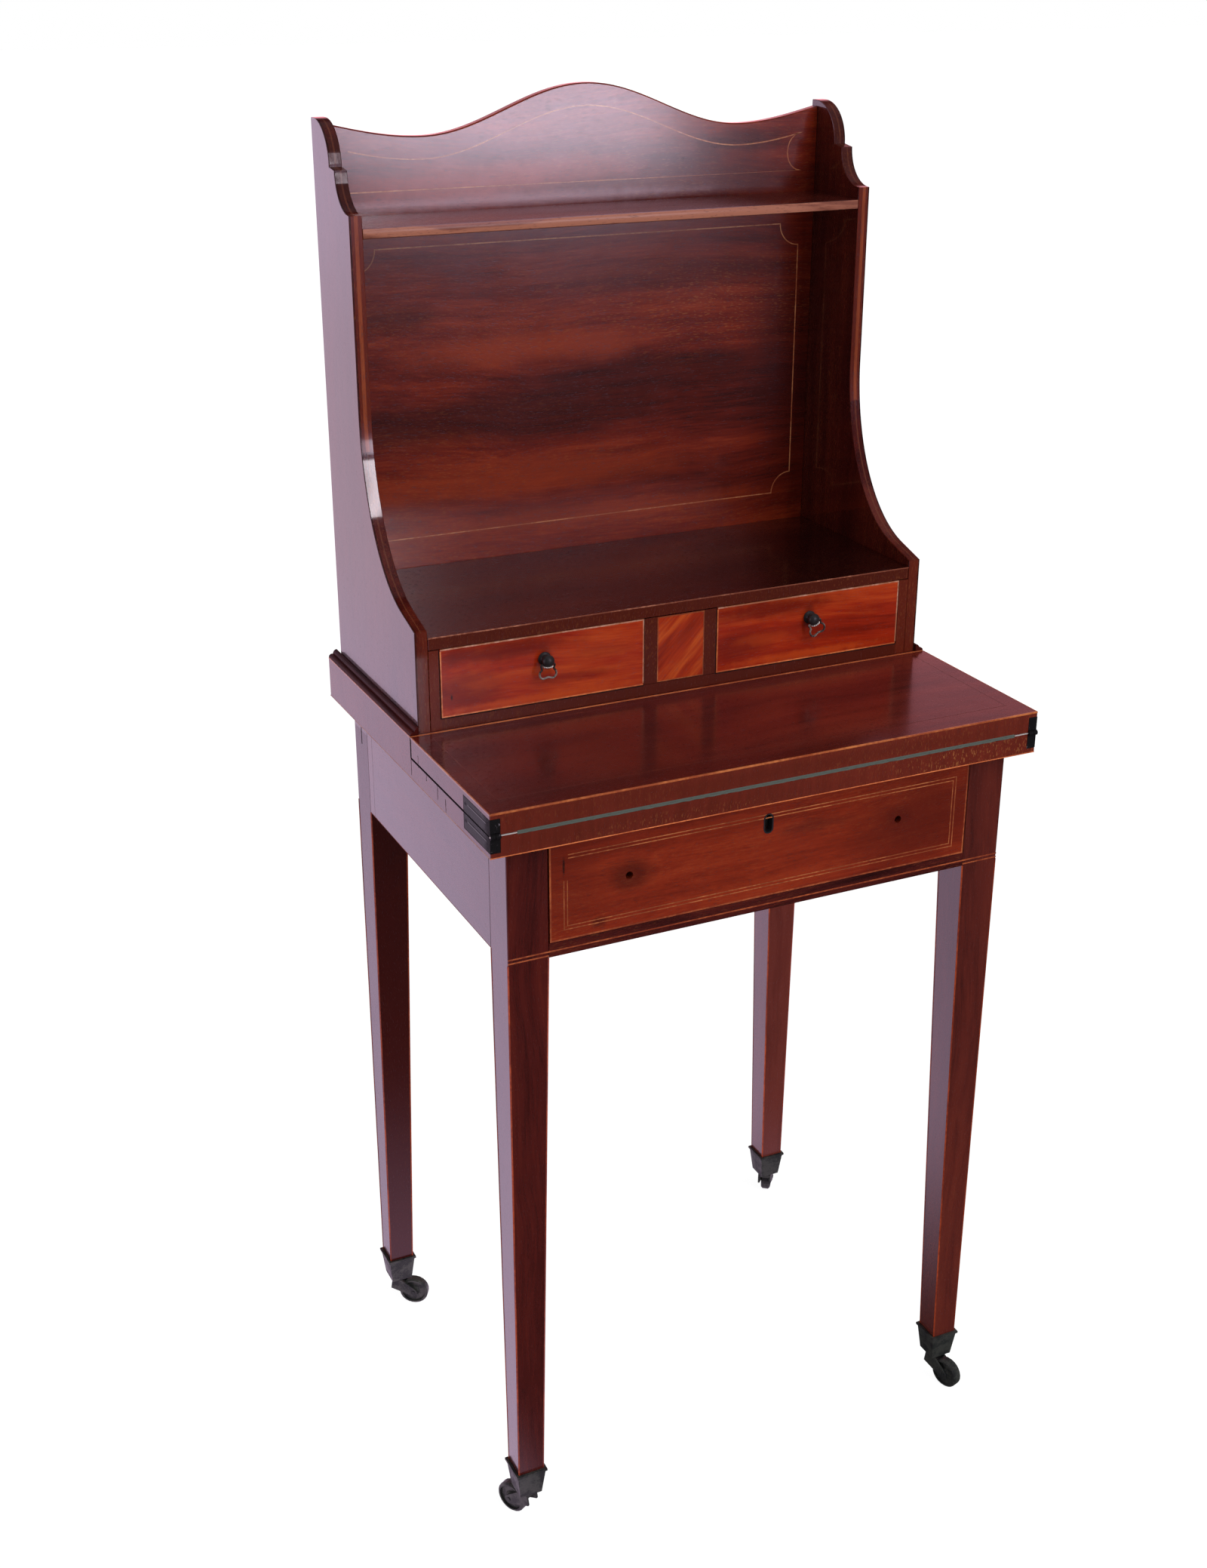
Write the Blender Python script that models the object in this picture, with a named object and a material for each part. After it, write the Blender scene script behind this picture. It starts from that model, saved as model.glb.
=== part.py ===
"""Small inlaid mahogany writing desk with an etagere top.

A table on four tapered legs with brass cup castors carries a flap that folds over to the front on
card-table hinges and rests on the pulled-out frieze drawer. Behind the flap stands an open
superstructure with shaped sides, one shelf and two small drawers.

Metres, +Z up, the front faces -Y. The origin is on the floor under the middle of the desk.
"""

import math

import bmesh
import bpy
from mathutils import Matrix, Vector

# Fits and tool sizes
FIT = 0.0003
SLIDE_FIT = 0.0006
FRIEZE_SLIDE_FIT = 0.0012
OVERRUN = 0.002
ARRIS = 0.0006

# Table top and flap
TABLE_WIDTH = 0.540
TABLE_DEPTH = 0.418
WRITING_HEIGHT = 0.770
LEAF_THICKNESS = 0.0195
LEAF_GAP = 0.0010
FLAP_DEPTH = 0.185
STEP_GAP = 0.0010
BAIZE_BORDER = 0.024
BAIZE_THICKNESS = 0.0009

# Card-table hinges, one at each front corner
KNUCKLE_RADIUS = 0.0025
KNUCKLE_LENGTH = 0.0042
KNUCKLE_SIDES = 24
HINGE_SET_OFF = 0.0002
PIN_RADIUS = 0.0010
PIN_CLEARANCE = 0.0003
PIN_SIDES = 12
PLATE_LENGTH = 0.058
PLATE_HEIGHT = 0.0145
PLATE_THICKNESS = 0.0016
PLATE_RETURN = 0.0090

# Legs and frieze
LEG_SIZE = 0.038
LEG_FOOT_SIZE = 0.0257
LEG_TIP_SIZE = 0.0190
LEG_INSET_SIDE = 0.020
LEG_INSET_FRONT = 0.017
LEG_INSET_BACK = 0.0095
FRIEZE_HEIGHT = 0.1115
RAIL_THICKNESS = 0.018
FRONT_RAIL_HEIGHT = 0.0135
FRONT_RAIL_DEPTH = 0.022
RUNNER_WIDTH = 0.0217
RUNNER_HEIGHT = 0.012
GUIDE_HEIGHT = 0.040

# Castors
SOCKET_TOP = 0.065
SOCKET_LIP_HEIGHT = 0.0023
SOCKET_LIP_OVERHANG = 0.0015
SOCKET_HEIGHT = 0.030
SOCKET_WALL = 0.0011
SOCKET_FLOOR = 0.0030
SOCKET_BOTTOM_SIZE = 0.0225
WHEEL_RADIUS = 0.016
WHEEL_WIDTH = 0.0100
WHEEL_WEB_WIDTH = 0.0056
WHEEL_RIM = 0.0030
WHEEL_HUB_RADIUS = 0.0050
WHEEL_CROWN = 0.0015
WHEEL_SIDES = 24
CASTOR_TRAIL = 0.017
AXLE_RADIUS = 0.0020
AXLE_CLEARANCE = 0.0003
AXLE_SIDES = 12
FORK_ARM_THICKNESS = 0.0020
FORK_ARM_CLEARANCE = 0.0006
FORK_BOSS_RADIUS = 0.0046
FORK_BOSS_STEPS = 8
FORK_CROWN_BACK = 0.0062
FORK_CROWN_FRONT = 0.0040
FORK_CROWN_HEIGHT = 0.0040
FORK_KNEE_OUT = 0.0078
FORK_KNEE_DROP = 0.0110
FORK_NECK_RADIUS = 0.0045
FORK_NECK_HEIGHT = 0.0027
FORK_NECK_SIDES = 16
# How each castor has come to rest, as the direction its wheel trails in, in degrees from +X
CASTOR_TURNS = {
    "front_left": 118.0,
    "front_right": -73.0,
    "back_left": -32.0,
    "back_right": 52.6,
}

# Drawers
DRAWER_REAR_GAP = 0.0115
DRAWER_FRONT_THICKNESS = 0.018
DRAWER_SIDE_THICKNESS = 0.009
DRAWER_SIDE_DROP = 0.0035
DRAWER_BOTTOM_THICKNESS = 0.005
DRAWER_BOTTOM_RAISE = 0.006
SMALL_DRAWER_REAR_GAP = 0.026
SMALL_FRONT_THICKNESS = 0.014
SMALL_SIDE_THICKNESS = 0.006
SMALL_BOTTOM_THICKNESS = 0.003
SMALL_BOTTOM_RAISE = 0.003
DOVETAIL_COUNT = 4
DOVETAIL_DEPTH_SHARE = 0.6
DOVETAIL_FLARE_SHARE = 0.18
KNOB_HOLE_RADIUS = 0.0035
KNOB_HOLE_SPACING = 0.272
KNOB_HOLE_SIDES = 16

# Lock of the frieze drawer
KEYHOLE_DROP = 0.0265
KEYHOLE_HEIGHT = 0.018
KEYHOLE_WIDTH = 0.0086
KEYHOLE_STEPS = 8
LOCK_WIDTH = 0.050
LOCK_HEIGHT = 0.038
LOCK_THICKNESS = 0.0095
LOCK_THROW = 0.0060
BOLT_WIDTH = 0.018
BOLT_HEIGHT = 0.014
BOLT_THICKNESS = 0.0048

# Superstructure
LEDGE = 0.009
SUPER_SET_BACK = 0.003
SUPER_BACK_INSET = 0.013
SIDE_THICKNESS = 0.012
BACK_THICKNESS = 0.010
CASE_BOTTOM_THICKNESS = 0.0107
SMALL_OPENING_HEIGHT = 0.0648
CASE_TOP_THICKNESS = 0.0116
NOSE_RISE = 0.0066
STILE_WIDTH = 0.0099
CENTRE_WIDTH = 0.075
CENTRE_WALL = 0.010
SHELF_TOP_RISE = 0.419
SHELF_THICKNESS = 0.009
SHELF_DEPTH = 0.082
SIDE_NOSING = 0.0032
NOSE_DEPTH = 0.0319
SWEEP_HEIGHT = 0.162
SWEEP_TOP_RISE = 0.262
SWEEP_START_DEGREES = 11.5
SHOULDER_RISE = 0.430
COVE_RADIUS = 0.034
NOTCH_DEPTH = 0.0135
NOTCH_RISE = 0.466
OVOLO_RADIUS = 0.038
CREST_PEAK_RISE = 0.5265
CREST_LOW_RISE = 0.4855
CREST_END_RISE = 0.4985
CREST_LOW_HALF_SPAN = 0.162
CREST_STEPS = 72
CURVE_STEPS = 24
MOULDING_HEIGHT = 0.0070
MOULDING_STEP_HEIGHT = 0.0030
MOULDING_STEPS = 5
# Where the first step of the moulding ends, as a share of its width
MOULDING_STEP_SHARE = 0.52

# Drop handles of the small drawers
HANDLE_RISE = 0.0091
HANDLE_BASE_RADIUS = 0.0062
HANDLE_BASE_HEIGHT = 0.0014
HANDLE_NECK_RADIUS = 0.0042
HANDLE_HEAD_RADIUS = 0.0058
HANDLE_LENGTH = 0.0118
HANDLE_SIDES = 20
BAIL_PIVOT_OUT = 0.0074
BAIL_PIVOT_DROP = 0.0030
BAIL_WIRE_RADIUS = 0.0009
BAIL_WIDTH = 0.0175
BAIL_DROP = 0.0150
BAIL_PIN_LENGTH = 0.0024
BAIL_CORNER_RADIUS = 0.0042
HANDLE_TURNS = {"left": 0.0, "right": -24.0}

# Places worked out from the sizes above
HALF_WIDTH = TABLE_WIDTH / 2
HINGE_PROUD = KNUCKLE_RADIUS + HINGE_SET_OFF
AXLE_Z = WHEEL_RADIUS * math.cos(math.pi / WHEEL_SIDES)
# The back right wheel rests behind the top's back edge, and the knuckles stand in front of it
REAR_TURN = math.radians(CASTOR_TURNS["back_right"])
REAR_REACH = (CASTOR_TRAIL + AXLE_Z) * math.sin(REAR_TURN)
REAR_TREAD = (WHEEL_WIDTH / 2 - WHEEL_CROWN) * math.cos(REAR_TURN)
REAR_OVERHANG = REAR_REACH + REAR_TREAD - LEG_INSET_BACK - LEG_FOOT_SIZE / 2
FRONT_Y = -(TABLE_DEPTH + REAR_OVERHANG - HINGE_PROUD) / 2
BACK_Y = FRONT_Y + TABLE_DEPTH
TOP_Z = WRITING_HEIGHT
FLAP_Z = TOP_Z - LEAF_THICKNESS
BED_Z = FLAP_Z - LEAF_GAP
UNDER_Z = BED_Z - LEAF_THICKNESS
FLAP_REAR_Y = FRONT_Y + FLAP_DEPTH
STEP_Y = FLAP_REAR_Y + STEP_GAP
HINGE_Y = FRONT_Y - HINGE_SET_OFF
HINGE_Z = BED_Z + LEAF_GAP / 2
BAIZE_RECESS = BAIZE_THICKNESS + FIT

LEG_X = HALF_WIDTH - LEG_INSET_SIDE
LEG_FRONT_Y = FRONT_Y + LEG_INSET_FRONT
LEG_BACK_Y = BACK_Y - LEG_INSET_BACK
LEG_INNER_X = LEG_X - LEG_SIZE
FRIEZE_Z = UNDER_Z - FRIEZE_HEIGHT
SOCKET_Z = SOCKET_TOP - SOCKET_HEIGHT

CASE_FRONT_Y = STEP_Y + SUPER_SET_BACK
CASE_BACK_Y = BACK_Y - SUPER_BACK_INSET
PANEL_Y = CASE_BACK_Y - BACK_THICKNESS
SUPER_X = HALF_WIDTH - LEDGE
CASE_X = SUPER_X - SIDE_THICKNESS
CASE_BASE_Z = TOP_Z + FIT
OPENING_Z = CASE_BASE_Z + CASE_BOTTOM_THICKNESS
OPENING_TOP_Z = OPENING_Z + SMALL_OPENING_HEIGHT
CASE_TOP_Z = OPENING_TOP_Z + CASE_TOP_THICKNESS
NOSE_Z = CASE_TOP_Z + NOSE_RISE
SHELF_FRONT_Y = PANEL_Y - SHELF_DEPTH
SMALL_X = CASE_X - FIT - STILE_WIDTH
SWEEP_START = math.radians(SWEEP_START_DEGREES)
SWEEP_DEPTH = (SHELF_FRONT_Y - CASE_FRONT_Y - NOSE_DEPTH) / (1 - math.sin(SWEEP_START))


def clear_scene():
    """Remove everything the file opened with."""
    for item in list(bpy.data.objects):
        bpy.data.objects.remove(item, do_unlink=True)


def finish(name, colour, roughness, metallic=0.0):
    """A plain Principled material of its own."""
    made = bpy.data.materials.new(name)
    made.use_nodes = True
    shader = made.node_tree.nodes["Principled BSDF"]
    shader.inputs["Base Color"].default_value = (*colour, 1.0)
    shader.inputs["Roughness"].default_value = roughness
    shader.inputs["Metallic"].default_value = metallic
    made.diffuse_color = (*colour, 1.0)
    return made


FINISHES = {
    "mahogany": ((0.13, 0.035, 0.022), 0.28, 0.0),
    "drawer_mahogany": ((0.27, 0.065, 0.028), 0.30, 0.0),
    "drawer_lining": ((0.36, 0.20, 0.10), 0.60, 0.0),
    "secondary_wood": ((0.24, 0.13, 0.07), 0.70, 0.0),
    "baize": ((0.035, 0.10, 0.055), 0.95, 0.0),
    "dark_brass": ((0.055, 0.048, 0.042), 0.42, 0.85),
    "steel": ((0.30, 0.30, 0.30), 0.40, 0.95),
}


def mesh_of(name, bm):
    """Close a bmesh into a mesh with its faces pointing out."""
    bmesh.ops.recalc_face_normals(bm, faces=bm.faces)
    mesh = bpy.data.meshes.new(name)
    bm.to_mesh(mesh)
    bm.free()
    return mesh


def link(name, mesh):
    """An object for a mesh, in the scene."""
    item = bpy.data.objects.new(name, mesh)
    bpy.context.scene.collection.objects.link(item)
    return item


def pivot(name, place, turn=None, parent=None):
    """An empty on a joint's axis, which carries the pieces that move together."""
    empty = bpy.data.objects.new(name, None)
    empty.empty_display_size = KNUCKLE_LENGTH
    bpy.context.scene.collection.objects.link(empty)
    matrix = Matrix.Translation(place) @ (turn or Matrix.Identity(4))
    empty.parent = parent
    if parent:
        bpy.context.view_layer.update()
        empty.matrix_parent_inverse = parent.matrix_world.inverted()
    empty.matrix_world = matrix
    bpy.context.view_layer.update()
    return empty


def place(name, mesh, surface, carrier=None, local=False, smooth=False):
    """Put a piece in the scene.

    A mesh in world coordinates that rides on a carrier is brought into the carrier's own frame, so
    its origin is on the joint's axis. A local mesh is in that frame already.
    """
    if smooth:
        mesh.shade_smooth()
        mesh.set_sharp_from_angle(angle=math.radians(40))
    if carrier and not local:
        mesh.transform(carrier.matrix_world.inverted())
    item = link(name, mesh)
    item.data.materials.append(surface)
    if carrier:
        item.parent = carrier
    return item


def box(low, high, arris=0.0):
    """A block between two corners, with its edges taken off by the arris width."""
    bm = bmesh.new()
    bmesh.ops.create_cube(bm, size=1.0)
    low, high = Vector(low), Vector(high)
    bmesh.ops.scale(bm, vec=high - low, verts=bm.verts)
    bmesh.ops.translate(bm, vec=(low + high) / 2, verts=bm.verts)
    if arris:
        bevel(bm, bm.edges[:], arris)
    return bm


def bevel(bm, edges, width, segments=1):
    """Round or chamfer some edges."""
    bmesh.ops.bevel(
        bm,
        geom=edges,
        offset=width,
        offset_type="OFFSET",
        affect="EDGES",
        segments=segments,
        profile=0.5,
        material=-1,
        clamp_overlap=True,
    )


AXES = {"x": (1, 2, 0), "y": (0, 2, 1), "z": (0, 1, 2)}


def prism(outline, axis, low, high):
    """Extrude an outline along x, y or z. Its points are (y, z), (x, z) or (x, y)."""
    first, second, along = AXES[axis]
    bm = bmesh.new()
    ring = []
    for point in outline:
        corner = [low, low, low]
        corner[first], corner[second], corner[along] = point[0], point[1], low
        ring.append(bm.verts.new(corner))
    face = bm.faces.new(ring)
    grown = bmesh.ops.extrude_face_region(bm, geom=[face])
    moved = [v for v in grown["geom"] if isinstance(v, bmesh.types.BMVert)]
    shift = Vector((0.0, 0.0, 0.0))
    shift[along] = high - low
    bmesh.ops.translate(bm, vec=shift, verts=moved)
    return bm


def square(half_x, half_y, centre, z):
    """The four corners of a level rectangle, one ring of a loft."""
    return [
        Vector((centre[0] + sx * half_x, centre[1] + sy * half_y, z))
        for sx, sy in ((-1, -1), (1, -1), (1, 1), (-1, 1))
    ]


def loft(rings):
    """A closed solid through rings of equally many corners, each extruded from the one before."""
    bm = bmesh.new()
    face = first = bm.faces.new([bm.verts.new(corner) for corner in rings[0]])
    for before, after in zip(rings, rings[1:]):
        grown = bmesh.ops.extrude_face_region(bm, geom=[face])
        if face is not first:
            bmesh.ops.delete(bm, geom=[face], context="FACES_ONLY")
        face = next(item for item in grown["geom"] if isinstance(item, bmesh.types.BMFace))
        for vert in face.verts:
            nearest = min(range(len(before)), key=lambda i: (before[i] - vert.co).length)
            vert.co = after[nearest]
    return bm


def turned(profile, axis, centre, sides):
    """Spin a (radius, along) profile about an axis. It is closed, or begins and ends on the axis."""
    bm = bmesh.new()
    axis = Vector(axis)
    side = axis.orthogonal().normalized()
    centre = Vector(centre)
    half_step = Matrix.Rotation(math.pi / sides, 3, axis)
    start = half_step @ side
    ring = [bm.verts.new(centre + start * radius + axis * along) for radius, along in profile]
    ends = ring[1:] + ring[:1] if profile[0][0] else ring[1:]
    edges = [bm.edges.new((a, b)) for a, b in zip(ring, ends)]
    bmesh.ops.spin(
        bm,
        geom=ring + edges,
        cent=centre,
        axis=axis,
        angle=math.tau,
        steps=sides,
        use_merge=True,
    )
    bmesh.ops.remove_doubles(bm, verts=bm.verts, dist=FIT / 30)
    return bm


def rod(centre, axis, radius, length, sides):
    """A plain round bar that starts at its centre point and runs along the axis."""
    bm = bmesh.new()
    bmesh.ops.create_cone(
        bm, cap_ends=True, segments=sides, radius1=radius, radius2=radius, depth=length
    )
    axis = Vector(axis).normalized()
    turn = axis.to_track_quat("Z", "Y").to_matrix().to_4x4()
    matrix = Matrix.Translation(Vector(centre) + axis * length / 2) @ turn
    bmesh.ops.transform(bm, matrix=matrix, verts=bm.verts)
    return bm


def joined(base, added=(), cut=()):
    """Fuse and cut bmeshes with exact Booleans, and return the mesh that results."""
    body = link("joiner", mesh_of("joined", base))
    tools = []
    for operation, shapes in (("UNION", added), ("DIFFERENCE", cut)):
        for shape in shapes:
            tool = link("tool", mesh_of("tool", shape))
            tool.hide_render = True
            tool.display_type = "WIRE"
            modifier = body.modifiers.new(operation, "BOOLEAN")
            modifier.operation = operation
            modifier.solver = "EXACT"
            modifier.object = tool
            tools.append(tool)
    graph = bpy.context.evaluated_depsgraph_get()
    result = bpy.data.meshes.new_from_object(body.evaluated_get(graph))
    for item in tools + [body]:
        bpy.data.objects.remove(item, do_unlink=True)
    return result


def arc(centre, radii, start, end, steps):
    """Points on an ellipse from one angle to another, in degrees."""
    angles = [math.radians(start + (end - start) * i / steps) for i in range(steps + 1)]
    return [(centre[0] + radii[0] * math.cos(a), centre[1] + radii[1] * math.sin(a)) for a in angles]


def sided(sign, low, high):
    """An x range on the right (sign 1) or its mirror image on the left (sign -1), low first."""
    return (low, high) if sign > 0 else (-high, -low)


SIDES = (("left", -1), ("right", 1))
CORNERS = (
    ("front_left", -1, -1),
    ("front_right", 1, -1),
    ("back_left", -1, 1),
    ("back_right", 1, 1),
)


def knuckle_cutter(sign, inner, outer):
    """Room for a hinge knuckle that turns past a leaf or a plate, between two depths in from the side."""
    low, high = sided(sign, HALF_WIDTH - inner, HALF_WIDTH - outer)
    return rod(
        (low, HINGE_Y, HINGE_Z), (1, 0, 0), KNUCKLE_RADIUS + PIN_CLEARANCE, high - low, KNUCKLE_SIDES
    )


def leaf_cutters(bottom, top):
    """What both leaves lose for their hinges: plate housings at the corners and room for the knuckles."""
    cutters = []
    for _, sign in SIDES:
        low, high = sided(sign, HALF_WIDTH - PLATE_THICKNESS - FIT, HALF_WIDTH + OVERRUN)
        rear = FRONT_Y + PLATE_LENGTH + FIT
        cutters.append(box((low, FRONT_Y - OVERRUN, bottom), (high, rear, top)))
        low, high = sided(sign, HALF_WIDTH - PLATE_RETURN - FIT, HALF_WIDTH + OVERRUN)
        rear = FRONT_Y + PLATE_THICKNESS + FIT
        cutters.append(box((low, FRONT_Y - OVERRUN, bottom), (high, rear, top)))
        cutters.append(knuckle_cutter(sign, PLATE_RETURN + FIT, -OVERRUN))
    return cutters


def baize_box(low, high, margin, front):
    """A level slab over the lined part of a leaf, its edges brought in by a margin."""
    half = HALF_WIDTH - BAIZE_BORDER - margin
    rear = FLAP_REAR_Y - BAIZE_BORDER - margin
    return box((-half, front, low), (half, rear, high))


def build_top(surface):
    """The fixed top: one board, thick behind the step, with a thin bed under the flap."""
    base = box((-HALF_WIDTH, FRONT_Y, UNDER_Z), (HALF_WIDTH, BACK_Y, TOP_Z), ARRIS)
    cutters = [
        box(
            (-HALF_WIDTH - OVERRUN, FRONT_Y - OVERRUN, BED_Z),
            (HALF_WIDTH + OVERRUN, STEP_Y, TOP_Z + OVERRUN),
        ),
        baize_box(BED_Z - BAIZE_RECESS, BED_Z + OVERRUN, 0, FRONT_Y - OVERRUN),
    ]
    cutters += leaf_cutters(BED_Z - PLATE_HEIGHT - FIT, BED_Z + OVERRUN)
    room = FRIEZE_SLIDE_FIT
    bolt_y = LEG_FRONT_Y + DRAWER_FRONT_THICKNESS - LOCK_THICKNESS / 2
    cutters.append(
        box(
            (-BOLT_WIDTH / 2 - room, bolt_y - BOLT_THICKNESS / 2 - room, UNDER_Z - OVERRUN),
            (BOLT_WIDTH / 2 + room, bolt_y + BOLT_THICKNESS / 2 + room, UNDER_Z + LOCK_THROW + room),
        )
    )
    return place("table_top", joined(base, cut=cutters), surface)


def build_flap(surface, cloth, carrier):
    """The folding leaf, and the cloth let into it and into the bed below."""
    base = box((-HALF_WIDTH, FRONT_Y, FLAP_Z), (HALF_WIDTH, FLAP_REAR_Y, TOP_Z), ARRIS)
    cutters = [baize_box(FLAP_Z - OVERRUN, FLAP_Z + BAIZE_RECESS, 0, FRONT_Y - OVERRUN)]
    cutters += leaf_cutters(FLAP_Z - OVERRUN, FLAP_Z + PLATE_HEIGHT + FIT)
    place("flap", joined(base, cut=cutters), surface, carrier)
    edge = FRONT_Y + LEAF_GAP
    lower = baize_box(BED_Z - BAIZE_THICKNESS, BED_Z, FIT, edge)
    upper = baize_box(FLAP_Z, FLAP_Z + BAIZE_THICKNESS, FIT, edge)
    place("bed_baize", mesh_of("bed_baize", lower), cloth)
    place("flap_baize", mesh_of("flap_baize", upper), cloth, carrier)


def hinge_plate(sign, bottom, top, knuckle_inner, knuckle_outer, pin):
    """One L-shaped hinge plate with its half of the knuckle, and the pin on the fixed one."""
    low, high = sided(sign, HALF_WIDTH - PLATE_THICKNESS, HALF_WIDTH)
    strap = box((low, FRONT_Y, bottom), (high, FRONT_Y + PLATE_LENGTH, top))
    low, high = sided(sign, HALF_WIDTH - PLATE_RETURN, HALF_WIDTH)
    front = box((low, FRONT_Y, bottom), (high, FRONT_Y + PLATE_THICKNESS, top))
    low, high = sided(sign, HALF_WIDTH - knuckle_inner, HALF_WIDTH - knuckle_outer)
    knuckle = rod((low, HINGE_Y, HINGE_Z), (1, 0, 0), KNUCKLE_RADIUS, high - low, KNUCKLE_SIDES)
    outer_end = PLATE_RETURN - KNUCKLE_LENGTH
    if pin:
        low, high = sided(sign, HALF_WIDTH - outer_end - OVERRUN, HALF_WIDTH)
        bar = rod((low, HINGE_Y, HINGE_Z), (1, 0, 0), PIN_RADIUS, high - low, PIN_SIDES)
        other = knuckle_cutter(sign, KNUCKLE_LENGTH + PIN_CLEARANCE, -OVERRUN)
        body = joined(front, added=[strap], cut=[other])
        return fused_with(body, [knuckle, bar])
    low, high = sided(sign, HALF_WIDTH - PLATE_RETURN - OVERRUN, HALF_WIDTH + OVERRUN)
    bore = rod(
        (low, HINGE_Y, HINGE_Z), (1, 0, 0), PIN_RADIUS + PIN_CLEARANCE, high - low, PIN_SIDES
    )
    other = knuckle_cutter(sign, PLATE_RETURN + OVERRUN, KNUCKLE_LENGTH)
    return joined(front, added=[strap, knuckle], cut=[other, bore])


def fused_with(mesh, shapes):
    """Union more shapes onto a finished mesh."""
    bm = bmesh.new()
    bm.from_mesh(mesh)
    return joined(bm, added=shapes)


def build_hinges(surface, carrier):
    """Two plates at each front corner: the lower holds the pin, the upper turns with the flap."""
    for side, sign in SIDES:
        inner = KNUCKLE_LENGTH + PIN_CLEARANCE
        fixed = hinge_plate(sign, BED_Z - PLATE_HEIGHT, BED_Z, PLATE_RETURN, inner, True)
        moving = hinge_plate(sign, FLAP_Z, FLAP_Z + PLATE_HEIGHT, KNUCKLE_LENGTH, 0, False)
        place(f"{side}_hinge_bed_plate", fixed, surface)
        place(f"{side}_hinge_flap_plate", moving, surface, carrier)


def leg_centre(sx, sy, size):
    """The middle of a leg's section of some size: the two outer faces run straight down."""
    y = LEG_FRONT_Y + size / 2 if sy < 0 else LEG_BACK_Y - size / 2
    return (sx * (LEG_X - size / 2), y)


def build_legs(surface):
    """Square legs that taper on their two inner faces and are pared down inside the castor cups."""
    tip_z = SOCKET_Z + SOCKET_FLOOR + FIT
    for name, sx, sy in CORNERS:
        foot = leg_centre(sx, sy, LEG_FOOT_SIZE)
        rings = [
            square(LEG_SIZE / 2, LEG_SIZE / 2, leg_centre(sx, sy, LEG_SIZE), UNDER_Z - FIT),
            square(LEG_SIZE / 2, LEG_SIZE / 2, leg_centre(sx, sy, LEG_SIZE), FRIEZE_Z),
            square(LEG_FOOT_SIZE / 2, LEG_FOOT_SIZE / 2, foot, SOCKET_TOP),
            square(LEG_TIP_SIZE / 2, LEG_TIP_SIZE / 2, foot, tip_z),
        ]
        bm = loft(rings)
        long_edges = [
            edge
            for edge in bm.edges
            if abs(edge.verts[0].co.z - edge.verts[1].co.z) > LEG_SIZE
        ]
        bevel(bm, long_edges, ARRIS)
        place(f"{name}_leg", mesh_of(f"{name}_leg", bm), surface)


def build_frieze(surface, inner_surface):
    """The rails between the legs and the runners that carry the frieze drawer."""
    top = UNDER_Z - FIT
    front_end = LEG_FRONT_Y + LEG_SIZE + FIT
    rear_end = LEG_BACK_Y - LEG_SIZE - FIT
    for side, sign in SIDES:
        low, high = sided(sign, LEG_X - RAIL_THICKNESS, LEG_X)
        rail = box((low, front_end, FRIEZE_Z), (high, rear_end, top))
        place(f"{side}_rail", mesh_of(f"{side}_rail", rail), surface)
    half = LEG_INNER_X - FIT
    back = box((-half, LEG_BACK_Y - RAIL_THICKNESS, FRIEZE_Z), (half, LEG_BACK_Y, top))
    place("back_rail", mesh_of("back_rail", back), surface)
    front = box(
        (-half, LEG_FRONT_Y, FRIEZE_Z),
        (half, LEG_FRONT_Y + FRONT_RAIL_DEPTH, FRIEZE_Z + FRONT_RAIL_HEIGHT),
    )
    place("front_rail", mesh_of("front_rail", front), surface)
    build_runners(inner_surface, front_end, rear_end)


def build_runners(surface, front_end, rear_end):
    """An L-shaped runner on each side: a ledge under the drawer side and a guide beside it."""
    ledge_top = FRIEZE_Z + FRONT_RAIL_HEIGHT
    ledge_bottom = ledge_top - RUNNER_HEIGHT
    ledge_front = LEG_FRONT_Y + FRONT_RAIL_DEPTH + FIT
    ledge_rear = LEG_BACK_Y - RAIL_THICKNESS - FIT
    for side, sign in SIDES:
        guide_in = LEG_INNER_X - FIT
        guide_out = LEG_X - RAIL_THICKNESS - FIT
        ledge_in = guide_in - RUNNER_WIDTH
        outline = [
            (ledge_in, ledge_bottom),
            (guide_out, ledge_bottom),
            (guide_out, ledge_top + GUIDE_HEIGHT),
            (guide_in, ledge_top + GUIDE_HEIGHT),
            (guide_in, ledge_top),
            (ledge_in, ledge_top),
        ]
        middle = prism([(sign * x, z) for x, z in outline], "y", front_end, rear_end)
        low, high = sided(sign, ledge_in, guide_in)
        ledge = box((low, ledge_front, ledge_bottom), (high, ledge_rear, ledge_top))
        place(f"{side}_drawer_runner", joined(middle, added=[ledge]), surface)


def castor_cup(surface, name, centre):
    """A square cup, tapered to its floor, with a lip that stands out round the leg."""
    top = LEG_FOOT_SIZE / 2 + FIT + SOCKET_WALL
    bottom = SOCKET_BOTTOM_SIZE / 2
    lip = top + SOCKET_LIP_OVERHANG
    lip_z = SOCKET_TOP - SOCKET_LIP_HEIGHT
    under_lip_z = lip_z - SOCKET_LIP_OVERHANG
    shell = loft(
        [
            square(lip, lip, centre, SOCKET_TOP),
            square(lip, lip, centre, lip_z),
            square(top, top, centre, under_lip_z),
            square(bottom, bottom, centre, SOCKET_Z),
        ]
    )
    inner_top = LEG_FOOT_SIZE / 2 + FIT
    inner_bottom = LEG_TIP_SIZE / 2 + FIT
    slope = (inner_top - inner_bottom) / (SOCKET_HEIGHT - SOCKET_FLOOR)
    mouth = inner_top + slope * OVERRUN
    hollow = loft(
        [
            square(mouth, mouth, centre, SOCKET_TOP + OVERRUN),
            square(inner_bottom, inner_bottom, centre, SOCKET_Z + SOCKET_FLOOR),
        ]
    )
    place(f"{name}_castor_cup", joined(shell, cut=[hollow]), surface)


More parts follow.
